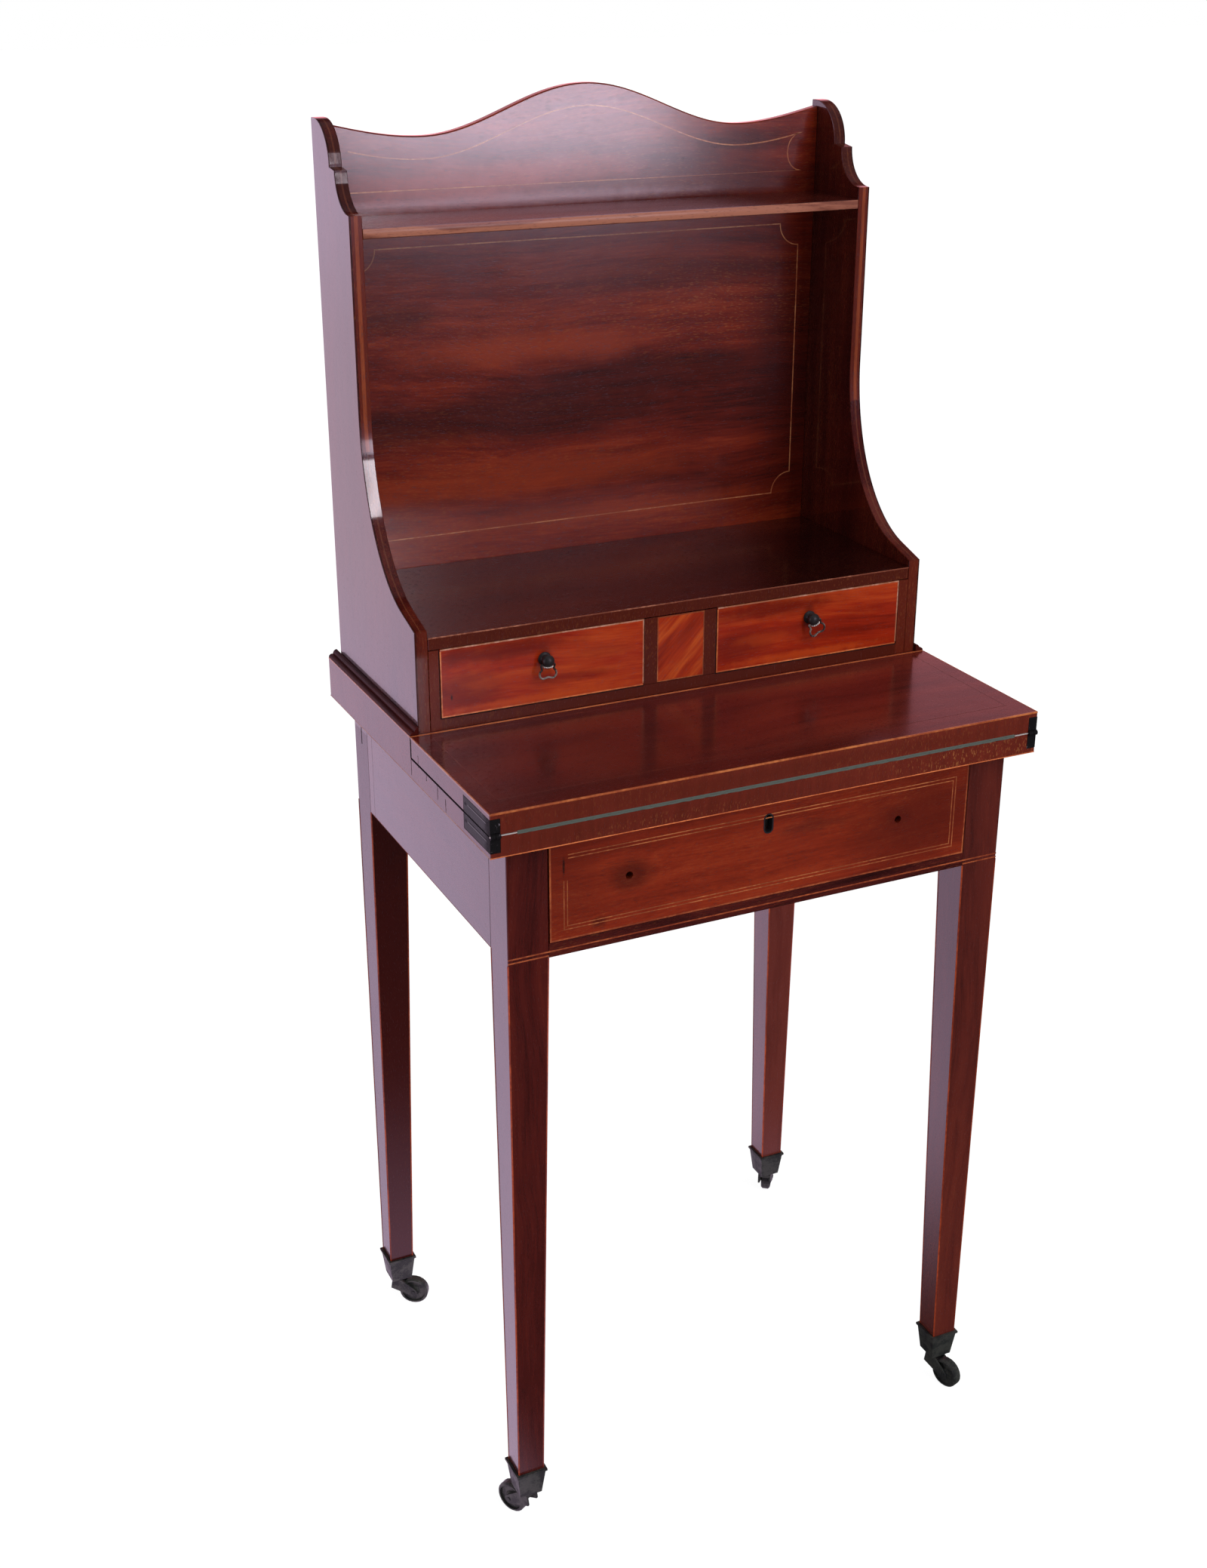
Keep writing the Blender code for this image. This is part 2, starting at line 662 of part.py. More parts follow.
def fork_mesh():
    """The swivelling fork about its own axis, trailing along +X: cranked arms, crown, neck and axle."""
    outer = WHEEL_WIDTH / 2 + FORK_ARM_CLEARANCE + FORK_ARM_THICKNESS
    inner = WHEEL_WIDTH / 2 + FORK_ARM_CLEARANCE
    crown_top = SOCKET_Z - FIT - FORK_NECK_HEIGHT
    crown_bottom = crown_top - FORK_CROWN_HEIGHT
    boss = arc((CASTOR_TRAIL, AXLE_Z), (FORK_BOSS_RADIUS,) * 2, 55, -125, FORK_BOSS_STEPS)
    outline = [
        (-FORK_CROWN_BACK, crown_top),
        (FORK_CROWN_FRONT, crown_top),
        *boss,
        (-FORK_KNEE_OUT, crown_top - FORK_KNEE_DROP),
    ]
    arms = [prism(outline, "y", side * inner, side * outer) for side in (-1, 1)]
    crown = box(
        (-FORK_CROWN_BACK, -inner - FORK_ARM_THICKNESS / 2, crown_bottom),
        (FORK_CROWN_FRONT, inner + FORK_ARM_THICKNESS / 2, crown_top),
    )
    neck = rod(
        (0, 0, crown_top - FORK_CROWN_HEIGHT / 2),
        (0, 0, 1),
        FORK_NECK_RADIUS,
        FORK_NECK_HEIGHT + FORK_CROWN_HEIGHT / 2,
        FORK_NECK_SIDES,
    )
    axle = rod(
        (CASTOR_TRAIL, -outer - FORK_ARM_CLEARANCE, AXLE_Z),
        (0, 1, 0),
        AXLE_RADIUS,
        2 * (outer + FORK_ARM_CLEARANCE),
        AXLE_SIDES,
    )
    return joined(crown, added=[*arms, neck, axle])


def wheel_mesh():
    """A small wheel about its own axle along Y, with a thin web, a hub and a crowned tread."""
    bore = AXLE_RADIUS + AXLE_CLEARANCE
    half = WHEEL_WIDTH / 2
    web = WHEEL_WEB_WIDTH / 2
    rim = WHEEL_RADIUS - WHEEL_RIM
    profile = [
        (bore, half),
        (WHEEL_HUB_RADIUS, half),
        (WHEEL_HUB_RADIUS + WHEEL_CROWN, web),
        (rim, web),
        (rim, half),
        (WHEEL_RADIUS - WHEEL_CROWN, half),
        (WHEEL_RADIUS, half - WHEEL_CROWN),
    ]
    profile += [(radius, -along) for radius, along in reversed(profile)]
    return mesh_of("castor_wheel", turned(profile, (0, 1, 0), (0, 0, 0), WHEEL_SIDES))


def build_castors(surface):
    """A cup, a swivelling fork and a wheel at each leg; the forks and the wheels share their meshes."""
    fork = fork_mesh()
    wheel = wheel_mesh()
    for name, sx, sy in CORNERS:
        centre = leg_centre(sx, sy, LEG_FOOT_SIZE)
        castor_cup(surface, name, centre)
        turn = Matrix.Rotation(math.radians(CASTOR_TURNS[name]), 4, "Z")
        swivel = pivot(f"{name}_swivel_axis", (*centre, 0.0), turn)
        place(f"{name}_castor_fork", fork, surface, swivel, local=True)
        hub = swivel.matrix_world @ Vector((CASTOR_TRAIL, 0.0, AXLE_Z))
        axle = pivot(f"{name}_wheel_axis", hub, turn, swivel)
        place(f"{name}_castor_wheel", wheel, surface, axle, local=True, smooth=True)


def dovetail_outline(side_z, side_height, depth, grow):
    """Tails across a drawer side's height, as (y, z) outlines that start at y 0 and widen forward."""
    pitch = side_height / DOVETAIL_COUNT
    neck = pitch * (1 - 2 * DOVETAIL_FLARE_SHARE) / 2
    flare = pitch * DOVETAIL_FLARE_SHARE
    outlines = []
    for index in range(DOVETAIL_COUNT):
        middle = side_z + pitch * (index + 0.5)
        outlines.append(
            [
                (OVERRUN, middle - neck / 2 - grow),
                (OVERRUN, middle + neck / 2 + grow),
                (-depth - grow, middle + neck / 2 + flare / 2 + grow),
                (-depth - grow, middle - neck / 2 - flare / 2 - grow),
            ]
        )
    return outlines


def build_drawer(names, x_range, z_range, front_y, sizes, surfaces, carrier, front_cuts=()):
    """A dovetailed drawer: a show front, two sides, a back and a bottom panel.

    sizes holds the length and the thicknesses of front, side and bottom, and how high the bottom
    sits and how far the sides stop below the front.
    """
    low_x, high_x = x_range
    low_z, high_z = z_range
    length, front_thick, side_thick, bottom_thick, raise_z, drop = sizes
    show, lining = surfaces
    side_top = high_z - drop
    side_y = front_y + front_thick + FIT
    rear_y = front_y + length
    tail_depth = front_thick * DOVETAIL_DEPTH_SHARE
    front = box((low_x, front_y, low_z), (high_x, front_y + front_thick, high_z), ARRIS)
    sockets = []
    inset = FIT * 2
    for side, sign in SIDES:
        outer = high_x - inset if sign > 0 else low_x + inset
        inner = outer - sign * side_thick
        low, high = min(outer, inner), max(outer, inner)
        board = box((low, side_y, low_z), (high, rear_y, side_top))
        tails = []
        for outline in dovetail_outline(low_z, side_top - low_z, tail_depth, 0):
            tail = [(side_y + y, z) for y, z in outline]
            tails.append(prism(tail, "x", low, high))
        for outline in dovetail_outline(low_z, side_top - low_z, tail_depth, FIT):
            socket = [(side_y + y, z) for y, z in outline]
            past = high_x + OVERRUN if sign > 0 else low_x - OVERRUN
            start = inner - sign * FIT
            sockets.append(prism(socket, "x", min(start, past), max(start, past)))
        place(f"{names}_{side}_side", joined(board, added=tails), lining, carrier)
    place(f"{names}_front", joined(front, cut=[*sockets, *front_cuts]), show, carrier)
    clear = inset + side_thick + FIT
    back = box(
        (low_x + clear, rear_y - side_thick, low_z), (high_x - clear, rear_y, side_top)
    )
    place(f"{names}_back", mesh_of(f"{names}_back", back), lining, carrier)
    bottom_z = low_z + raise_z
    bottom = box(
        (low_x + clear, side_y, bottom_z),
        (high_x - clear, rear_y - side_thick - FIT, bottom_z + bottom_thick),
    )
    place(f"{names}_bottom", mesh_of(f"{names}_bottom", bottom), lining, carrier)


def slot_outline(width, height, centre_x, centre_z):
    """An upright slot with round ends."""
    radius = width / 2
    straight = (height - width) / 2
    upper = arc((centre_x, centre_z + straight), (radius, radius), 0, 180, KEYHOLE_STEPS)
    lower = arc((centre_x, centre_z - straight), (radius, radius), 180, 360, KEYHOLE_STEPS)
    return upper + lower


def build_lock(carrier, bolt_carrier, surface, top_z):
    """The lock let into the back of the drawer front, and its bolt."""
    rear = LEG_FRONT_Y + DRAWER_FRONT_THICKNESS
    low_y = rear - LOCK_THICKNESS
    case_top = top_z - FIT
    case_low = case_top - LOCK_HEIGHT
    bolt_y = rear - LOCK_THICKNESS / 2
    room = SLIDE_FIT / 2
    case = box((-LOCK_WIDTH / 2, low_y, case_low), (LOCK_WIDTH / 2, rear, case_top))
    channel = box(
        (-BOLT_WIDTH / 2 - room, bolt_y - BOLT_THICKNESS / 2 - room, case_top - BOLT_HEIGHT - room),
        (BOLT_WIDTH / 2 + room, bolt_y + BOLT_THICKNESS / 2 + room, case_top + OVERRUN),
    )
    place("drawer_lock_case", joined(case, cut=[channel]), surface, carrier)
    bolt = box(
        (-BOLT_WIDTH / 2, bolt_y - BOLT_THICKNESS / 2, case_top - BOLT_HEIGHT),
        (BOLT_WIDTH / 2, bolt_y + BOLT_THICKNESS / 2, case_top),
    )
    place("drawer_lock_bolt", mesh_of("drawer_lock_bolt", bolt), surface, bolt_carrier)


def lock_cuts(top_z):
    """What the drawer front loses for its lock and keyhole, and the two bare knob holes."""
    rear = LEG_FRONT_Y + DRAWER_FRONT_THICKNESS
    hole_z = top_z - KEYHOLE_DROP
    grown = 2 * FIT
    cuts = [
        box(
            (-LOCK_WIDTH / 2 - FIT, rear - LOCK_THICKNESS - FIT, top_z - LOCK_HEIGHT - grown),
            (LOCK_WIDTH / 2 + FIT, rear + OVERRUN, top_z + OVERRUN),
        ),
        prism(
            slot_outline(KEYHOLE_WIDTH, KEYHOLE_HEIGHT, 0, hole_z),
            "y",
            LEG_FRONT_Y - OVERRUN,
            rear,
        ),
    ]
    middle_z = (FRIEZE_Z + FRONT_RAIL_HEIGHT + FIT + top_z) / 2
    for sign in (-1, 1):
        cuts.append(
            rod(
                (sign * KNOB_HOLE_SPACING / 2, LEG_FRONT_Y - OVERRUN, middle_z),
                (0, 1, 0),
                KNOB_HOLE_RADIUS,
                DRAWER_FRONT_THICKNESS + 2 * OVERRUN,
                KNOB_HOLE_SIDES,
            )
        )
    return cuts


def build_frieze_drawer(surfaces, metal):
    """The long drawer under the top, which also carries the open flap."""
    low_z = FRIEZE_Z + FRONT_RAIL_HEIGHT + FIT
    top_z = UNDER_Z - FIT
    half = LEG_INNER_X - FRIEZE_SLIDE_FIT
    carrier = pivot("frieze_drawer_slide", (0.0, LEG_FRONT_Y, low_z))
    bolt_carrier = pivot("lock_bolt_slide", (0.0, LEG_FRONT_Y, top_z), parent=carrier)
    sizes = (
        LEG_BACK_Y - RAIL_THICKNESS - DRAWER_REAR_GAP - LEG_FRONT_Y,
        DRAWER_FRONT_THICKNESS,
        DRAWER_SIDE_THICKNESS,
        DRAWER_BOTTOM_THICKNESS,
        DRAWER_BOTTOM_RAISE,
        DRAWER_SIDE_DROP,
    )
    build_drawer(
        "frieze_drawer",
        (-half, half),
        (low_z, top_z),
        LEG_FRONT_Y,
        sizes,
        surfaces,
        carrier,
        lock_cuts(top_z),
    )
    build_lock(carrier, bolt_carrier, metal["steel"], top_z)


def side_outline():
    """The shaped side in (y, z): nose, sweep, straight front, cove, notch and quarter-round top."""
    sweep_centre = (SHELF_FRONT_Y - SWEEP_DEPTH, TOP_Z + SWEEP_TOP_RISE)
    sweep = arc(
        sweep_centre, (SWEEP_DEPTH, SWEEP_HEIGHT), SWEEP_START_DEGREES - 90, 0, CURVE_STEPS
    )
    cove_centre = (SHELF_FRONT_Y, TOP_Z + SHOULDER_RISE + COVE_RADIUS)
    cove = arc(cove_centre, (COVE_RADIUS, COVE_RADIUS), -90, 0, CURVE_STEPS // 2)
    notch_y = SHELF_FRONT_Y + COVE_RADIUS + NOTCH_DEPTH
    top_centre = (notch_y + OVOLO_RADIUS, TOP_Z + NOTCH_RISE)
    ovolo = arc(top_centre, (OVOLO_RADIUS, OVOLO_RADIUS), 180, 90, CURVE_STEPS // 2)
    return [
        (CASE_BACK_Y, CASE_BASE_Z),
        (CASE_FRONT_Y, CASE_BASE_Z),
        (CASE_FRONT_Y, NOSE_Z),
        *sweep,
        *cove,
        *ovolo,
        (CASE_BACK_Y, TOP_Z + NOTCH_RISE + OVOLO_RADIUS),
    ]


def build_sides(surface):
    """The two shaped side panels, their show edges rounded over."""
    outline = side_outline()
    for side, sign in SIDES:
        low, high = sided(sign, CASE_X, SUPER_X)
        bm = prism(outline, "x", low, high)
        shown = []
        for edge in bm.edges:
            a, b = (vert.co for vert in edge.verts)
            along_outline = abs(a.x - b.x) < FIT
            behind = min(a.y, b.y) > CASE_BACK_Y - FIT
            under = max(a.z, b.z) < CASE_BASE_Z + FIT
            if along_outline and not behind and not under:
                shown.append(edge)
        bevel(bm, shown, SIDE_NOSING, 2)
        place(f"{side}_side_panel", mesh_of(f"{side}_side_panel", bm), surface)


def crest_rise(x):
    """Height of the back panel's top edge over the table top at a place across it."""
    if abs(x) <= CREST_LOW_HALF_SPAN:
        middle = (CREST_PEAK_RISE + CREST_LOW_RISE) / 2
        swing = (CREST_PEAK_RISE - CREST_LOW_RISE) / 2
        return middle + swing * math.cos(math.pi * x / CREST_LOW_HALF_SPAN)
    share = (abs(x) - CREST_LOW_HALF_SPAN) / (CASE_X - CREST_LOW_HALF_SPAN)
    return CREST_LOW_RISE + (CREST_END_RISE - CREST_LOW_RISE) * (1 - math.cos(math.pi / 2 * share))


def build_back(surface):
    """The back panel with its serpentine crest."""
    half = CASE_X - FIT
    crest = []
    for index in range(CREST_STEPS + 1):
        x = half - 2 * half * index / CREST_STEPS
        crest.append((x, TOP_Z + crest_rise(x)))
    outline = [(-half, CASE_BASE_Z), (half, CASE_BASE_Z), *crest]
    bm = prism(outline, "y", PANEL_Y, CASE_BACK_Y)
    upper = [
        edge
        for edge in bm.edges
        if min(v.co.z for v in edge.verts) > TOP_Z + CREST_LOW_RISE - FIT
        and abs(edge.verts[0].co.y - edge.verts[1].co.y) < FIT
    ]
    bevel(bm, upper, 2 * ARRIS)
    place("back_panel", mesh_of("back_panel", bm), surface)


def build_case(surface, inner_surface):
    """The boards of the drawer case, the shelf above and the mouldings on the ledges."""
    half = CASE_X - FIT
    rear = PANEL_Y - FIT
    low, high = OPENING_Z + FIT, OPENING_TOP_Z - FIT
    profile = [
        (half, CASE_BASE_Z),
        (half, high),
        (SMALL_X, high),
        (SMALL_X, OPENING_Z),
    ]
    profile += [(-x, z) for x, z in reversed(profile)]
    tray = prism(profile, "y", CASE_FRONT_Y, rear)
    place("drawer_case_tray", mesh_of("drawer_case_tray", tray), surface)
    top = box((-half, CASE_FRONT_Y, OPENING_TOP_Z), (half, rear, CASE_TOP_Z), ARRIS)
    place("drawer_case_top", mesh_of("drawer_case_top", top), surface)
    centre = CENTRE_WIDTH / 2
    block = box((-centre, CASE_FRONT_Y, low), (centre, rear, high))
    hollow = box(
        (-centre + CENTRE_WALL, CASE_FRONT_Y + SMALL_FRONT_THICKNESS, low - OVERRUN),
        (centre - CENTRE_WALL, rear + OVERRUN, high + OVERRUN),
    )
    place("centre_divider", joined(block, cut=[hollow]), inner_surface)
    top = TOP_Z + SHELF_TOP_RISE
    shelf = box((-half, SHELF_FRONT_Y, top - SHELF_THICKNESS), (half, rear, top), ARRIS * 2)
    place("upper_shelf", mesh_of("upper_shelf", shelf), surface)


def build_mouldings(surface):
    """A two-step rounded moulding on each ledge beside the superstructure."""
    width = LEDGE - 2 * FIT
    step = width * MOULDING_STEP_SHARE
    inner = SUPER_X + FIT
    base = TOP_Z + FIT
    low_radius = MOULDING_STEP_HEIGHT
    rise = MOULDING_HEIGHT - MOULDING_STEP_HEIGHT
    lower = arc((inner + width - low_radius, base), (low_radius, low_radius), 0, 90, MOULDING_STEPS)
    upper = arc((inner, base + low_radius), (width - step, rise), 0, 90, MOULDING_STEPS)
    outline = [(inner, base), *lower, *upper]
    for side, sign in SIDES:
        bm = prism([(sign * x, z) for x, z in outline], "y", STEP_Y + FIT, BACK_Y)
        place(f"{side}_ledge_moulding", mesh_of(f"{side}_ledge_moulding", bm), surface)


def handle_head(centre, turn):
    """The turned post of a drop handle, cross-drilled for its bail."""
    rounding = arc(
        (0, HANDLE_LENGTH - HANDLE_HEAD_RADIUS / 2),
        (HANDLE_HEAD_RADIUS, HANDLE_HEAD_RADIUS / 2),
        0,
        90,
        4,
    )
    head_low = HANDLE_LENGTH - HANDLE_HEAD_RADIUS * 1.5
    profile = [
        (0, 0),
        (HANDLE_BASE_RADIUS, 0),
        (HANDLE_BASE_RADIUS, HANDLE_BASE_HEIGHT),
        (HANDLE_NECK_RADIUS, HANDLE_BASE_HEIGHT * 1.5),
        (HANDLE_NECK_RADIUS, head_low * 0.8),
        (HANDLE_HEAD_RADIUS, head_low),
        *rounding,
    ]
    post = turned(profile, (0, -1, 0), (0, 0, 0), HANDLE_SIDES)
    reach = HANDLE_HEAD_RADIUS + OVERRUN
    hole = rod(
        (-reach, -BAIL_PIVOT_OUT, -BAIL_PIVOT_DROP),
        (1, 0, 0),
        BAIL_WIRE_RADIUS + PIN_CLEARANCE,
        2 * reach,
        PIN_SIDES,
    )
    mesh = joined(post, cut=[hole])
    mesh.transform(Matrix.Translation(centre) @ turn)
    return mesh


def bail_points():
    """The centre line of a bail in (x, z) about its pivot: pin, shoulder, side, bottom, and back."""
    half = BAIL_WIDTH / 2 - BAIL_WIRE_RADIUS
    low = -BAIL_DROP + BAIL_WIRE_RADIUS
    radius = BAIL_CORNER_RADIUS
    pin = HANDLE_HEAD_RADIUS - BAIL_PIN_LENGTH
    shoulder_x = HANDLE_HEAD_RADIUS + 2 * BAIL_WIRE_RADIUS
    right = [(pin, 0.0), (HANDLE_HEAD_RADIUS + BAIL_WIRE_RADIUS / 2, 0.0)]
    bend = BAIL_WIRE_RADIUS * 1.5
    right += arc((shoulder_x - BAIL_WIRE_RADIUS, -2 * BAIL_WIRE_RADIUS), (bend, bend), 60, 0, 2)
    right += [(half, low + radius * 1.4)]
    right += arc((half - radius, low + radius), (radius, radius), 0, -90, 5)
    left = [(-x, z) for x, z in reversed(right)]
    return right + left


def build_bail(name, surface, carrier):
    """A bail bent from wire, in its pivot's own frame."""
    curve = bpy.data.curves.new(name, "CURVE")
    curve.dimensions = "3D"
    curve.bevel_depth = BAIL_WIRE_RADIUS
    curve.bevel_resolution = 2
    curve.use_fill_caps = True
    points = bail_points()
    spline = curve.splines.new("POLY")
    spline.points.add(len(points) - 1)
    for point, (x, z) in zip(spline.points, points):
        point.co = (x, 0.0, z, 1.0)
    item = bpy.data.objects.new(name, curve)
    bpy.context.scene.collection.objects.link(item)
    curve.materials.append(surface)
    item.parent = carrier
    return item


def build_small_drawers(surfaces, metal):
    """The two small drawers of the case with their drop handles."""
    low_z = OPENING_Z + FIT
    top_z = OPENING_TOP_Z - FIT
    sizes = (
        PANEL_Y - SMALL_DRAWER_REAR_GAP - CASE_FRONT_Y,
        SMALL_FRONT_THICKNESS,
        SMALL_SIDE_THICKNESS,
        SMALL_BOTTOM_THICKNESS,
        SMALL_BOTTOM_RAISE,
        DRAWER_SIDE_DROP,
    )
    for side, sign in SIDES:
        low, high = sided(sign, CENTRE_WIDTH / 2 + SLIDE_FIT, SMALL_X - SLIDE_FIT)
        middle = (low + high) / 2
        carrier = pivot(f"{side}_small_drawer_slide", (middle, CASE_FRONT_Y, low_z))
        build_drawer(
            f"{side}_small_drawer",
            (low, high),
            (low_z, top_z),
            CASE_FRONT_Y,
            sizes,
            surfaces,
            carrier,
        )
        centre = Vector((middle, CASE_FRONT_Y - FIT, (low_z + top_z) / 2 + HANDLE_RISE))
        turn = Matrix.Rotation(math.radians(HANDLE_TURNS[side]), 4, "Y")
        head = handle_head(centre, turn)
        place(f"{side}_handle_post", head, metal["dark_brass"], carrier, smooth=True)
        offset = turn @ Vector((0.0, -BAIL_PIVOT_OUT, -BAIL_PIVOT_DROP))
        hinge = pivot(f"{side}_bail_pivot", centre + offset, turn, carrier)
        build_bail(f"{side}_handle_bail", metal["dark_brass"], hinge)


def main():
    """Build the desk piece by piece."""
    clear_scene()
    made = {name: finish(name, *values) for name, values in FINISHES.items()}
    show = made["mahogany"]
    build_top(show)
    flap_hinge = pivot("flap_hinge", (0.0, HINGE_Y, HINGE_Z))
    build_flap(show, made["baize"], flap_hinge)
    build_hinges(made["dark_brass"], flap_hinge)
    build_legs(show)
    build_frieze(show, made["secondary_wood"])
    build_castors(made["dark_brass"])
    drawer_surfaces = (made["drawer_mahogany"], made["drawer_lining"])
    build_frieze_drawer(drawer_surfaces, made)
    build_sides(show)
    build_back(show)
    build_case(show, show)
    build_mouldings(show)
    build_small_drawers(drawer_surfaces, made)


main()
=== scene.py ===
"""A small inlaid mahogany etagere desk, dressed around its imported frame.

The frame's own nodes keep their shape and get their finishes here. New pieces are the stringing, the
arris lines, the cloth linings, the shaped sides, the shelf, the drop handles, the hinges' screws and
tongues, the divider's panel and the keyhole lining.
"""

from __future__ import annotations

import logging
import math
from dataclasses import dataclass, field
from enum import Enum
from typing import Iterable, Sequence

import bmesh
import bpy
from mathutils import Matrix, Vector, noise


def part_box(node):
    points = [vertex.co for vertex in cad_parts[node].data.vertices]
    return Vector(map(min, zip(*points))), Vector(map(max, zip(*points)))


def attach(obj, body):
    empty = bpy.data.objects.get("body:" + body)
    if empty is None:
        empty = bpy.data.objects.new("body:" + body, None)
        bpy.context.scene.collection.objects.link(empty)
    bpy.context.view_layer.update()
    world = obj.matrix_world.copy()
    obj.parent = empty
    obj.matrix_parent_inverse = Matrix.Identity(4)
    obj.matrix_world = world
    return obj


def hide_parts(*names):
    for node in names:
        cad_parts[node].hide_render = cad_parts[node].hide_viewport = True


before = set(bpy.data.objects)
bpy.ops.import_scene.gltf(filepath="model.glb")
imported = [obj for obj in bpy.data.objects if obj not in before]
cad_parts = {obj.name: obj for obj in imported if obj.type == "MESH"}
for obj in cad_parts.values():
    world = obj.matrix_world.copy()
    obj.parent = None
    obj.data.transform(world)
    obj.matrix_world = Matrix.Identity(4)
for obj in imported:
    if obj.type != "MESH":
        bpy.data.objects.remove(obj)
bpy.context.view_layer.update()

LOG = logging.getLogger("etagere_desk")
MM = 0.001
Colour = tuple[float, float, float]
Point = tuple[float, float, float]
Flat = tuple[float, float]
Shape = bmesh.types.BMesh

CORNERS = ("front_left", "front_right", "back_left", "back_right")
DRAWER_PARTS = ("left_side", "right_side", "back", "bottom")
PROUD = 0.12 * MM  # how far lines stand out of the wood
WELD = 0.01 * MM  # vertices closer than this are one
WOOD_IOR = 1.5
POLISH_IOR = 1.55
# Features a metre along and across the grain, on a board's faces and on its banded edges
GRAIN = (("streak", 5.0, 95.0), ("hair", 26.0, 520.0), ("pore", 170.0, 1050.0))
EDGE_GRAIN = (("streak", 9.0, 130.0), ("hair", 50.0, 520.0), ("pore", 220.0, 800.0))
GOLD_FLECK = (0.46, 0.17, 0.05)
# Near black for dirt in cracks and joints, and for painted shade in gaps.
DIRT_AND_SHADE = (0.006, 0.004, 0.004)


class Axis(Enum):
    """A world axis, and which coordinate it is."""

    X = 0
    Y = 1
    Z = 2


class Metal(Enum):
    """How far a metal has gone dark: the height of the noise from which it is bright."""

    BLACKENED = 0.60
    WORN = 0.42
    # Almost all bright: used for the glint finish, a painted glint.
    GLINTING = 0.26


class Wire:
    """A socket's value in a shader expression. Arithmetic on it adds Math nodes."""

    def __init__(self, paint: Nodes, socket: bpy.types.NodeSocket) -> None:
        """Keep the socket and the tree that it belongs to."""
        self.paint = paint
        self.socket = socket

    def math(self, operation: str, *values: Wire | float) -> Wire:
        """Apply a Math node to some values.

        Args:
            operation: the Math node's operation.
            values: its inputs in order.

        Returns:
            The result.
        """
        return self.paint.node("ShaderNodeMath", {"operation": operation}, dict(enumerate(values)))

    def __add__(self, other: Wire | float) -> Wire:
        """self + other."""
        return self.math("ADD", self, other)

    __radd__ = __add__

    def __sub__(self, other: Wire | float) -> Wire:
        """self - other."""
        return self.math("SUBTRACT", self, other)

    def __rsub__(self, other: Wire | float) -> Wire:
        """other - self."""
        return self.math("SUBTRACT", other, self)

    def __mul__(self, other: Wire | float) -> Wire:
        """self * other."""
        return self.math("MULTIPLY", self, other)

    __rmul__ = __mul__

    def __abs__(self) -> Wire:
        """The size of self, without its sign."""
        return self.math("ABSOLUTE", self)

    def most(self, other: Wire | float) -> Wire:
        """The larger of two values."""
        return self.math("MAXIMUM", self, other)

    def least(self, other: Wire | float) -> Wire:
        """The smaller of two values."""
        return self.math("MINIMUM", self, other)

    def ease(self, low: float, high: float) -> Wire:
        """0 below low and 1 above high, with a smooth step between. low may be the larger one.

        Args:
            low: the value that gives 0.
            high: the value that gives 1.

        Returns:
            The eased value.
        """
        inputs = {"Value": self, "From Min": low, "From Max": high}
        return self.paint.node("ShaderNodeMapRange", {"interpolation_type": "SMOOTHSTEP"}, inputs)


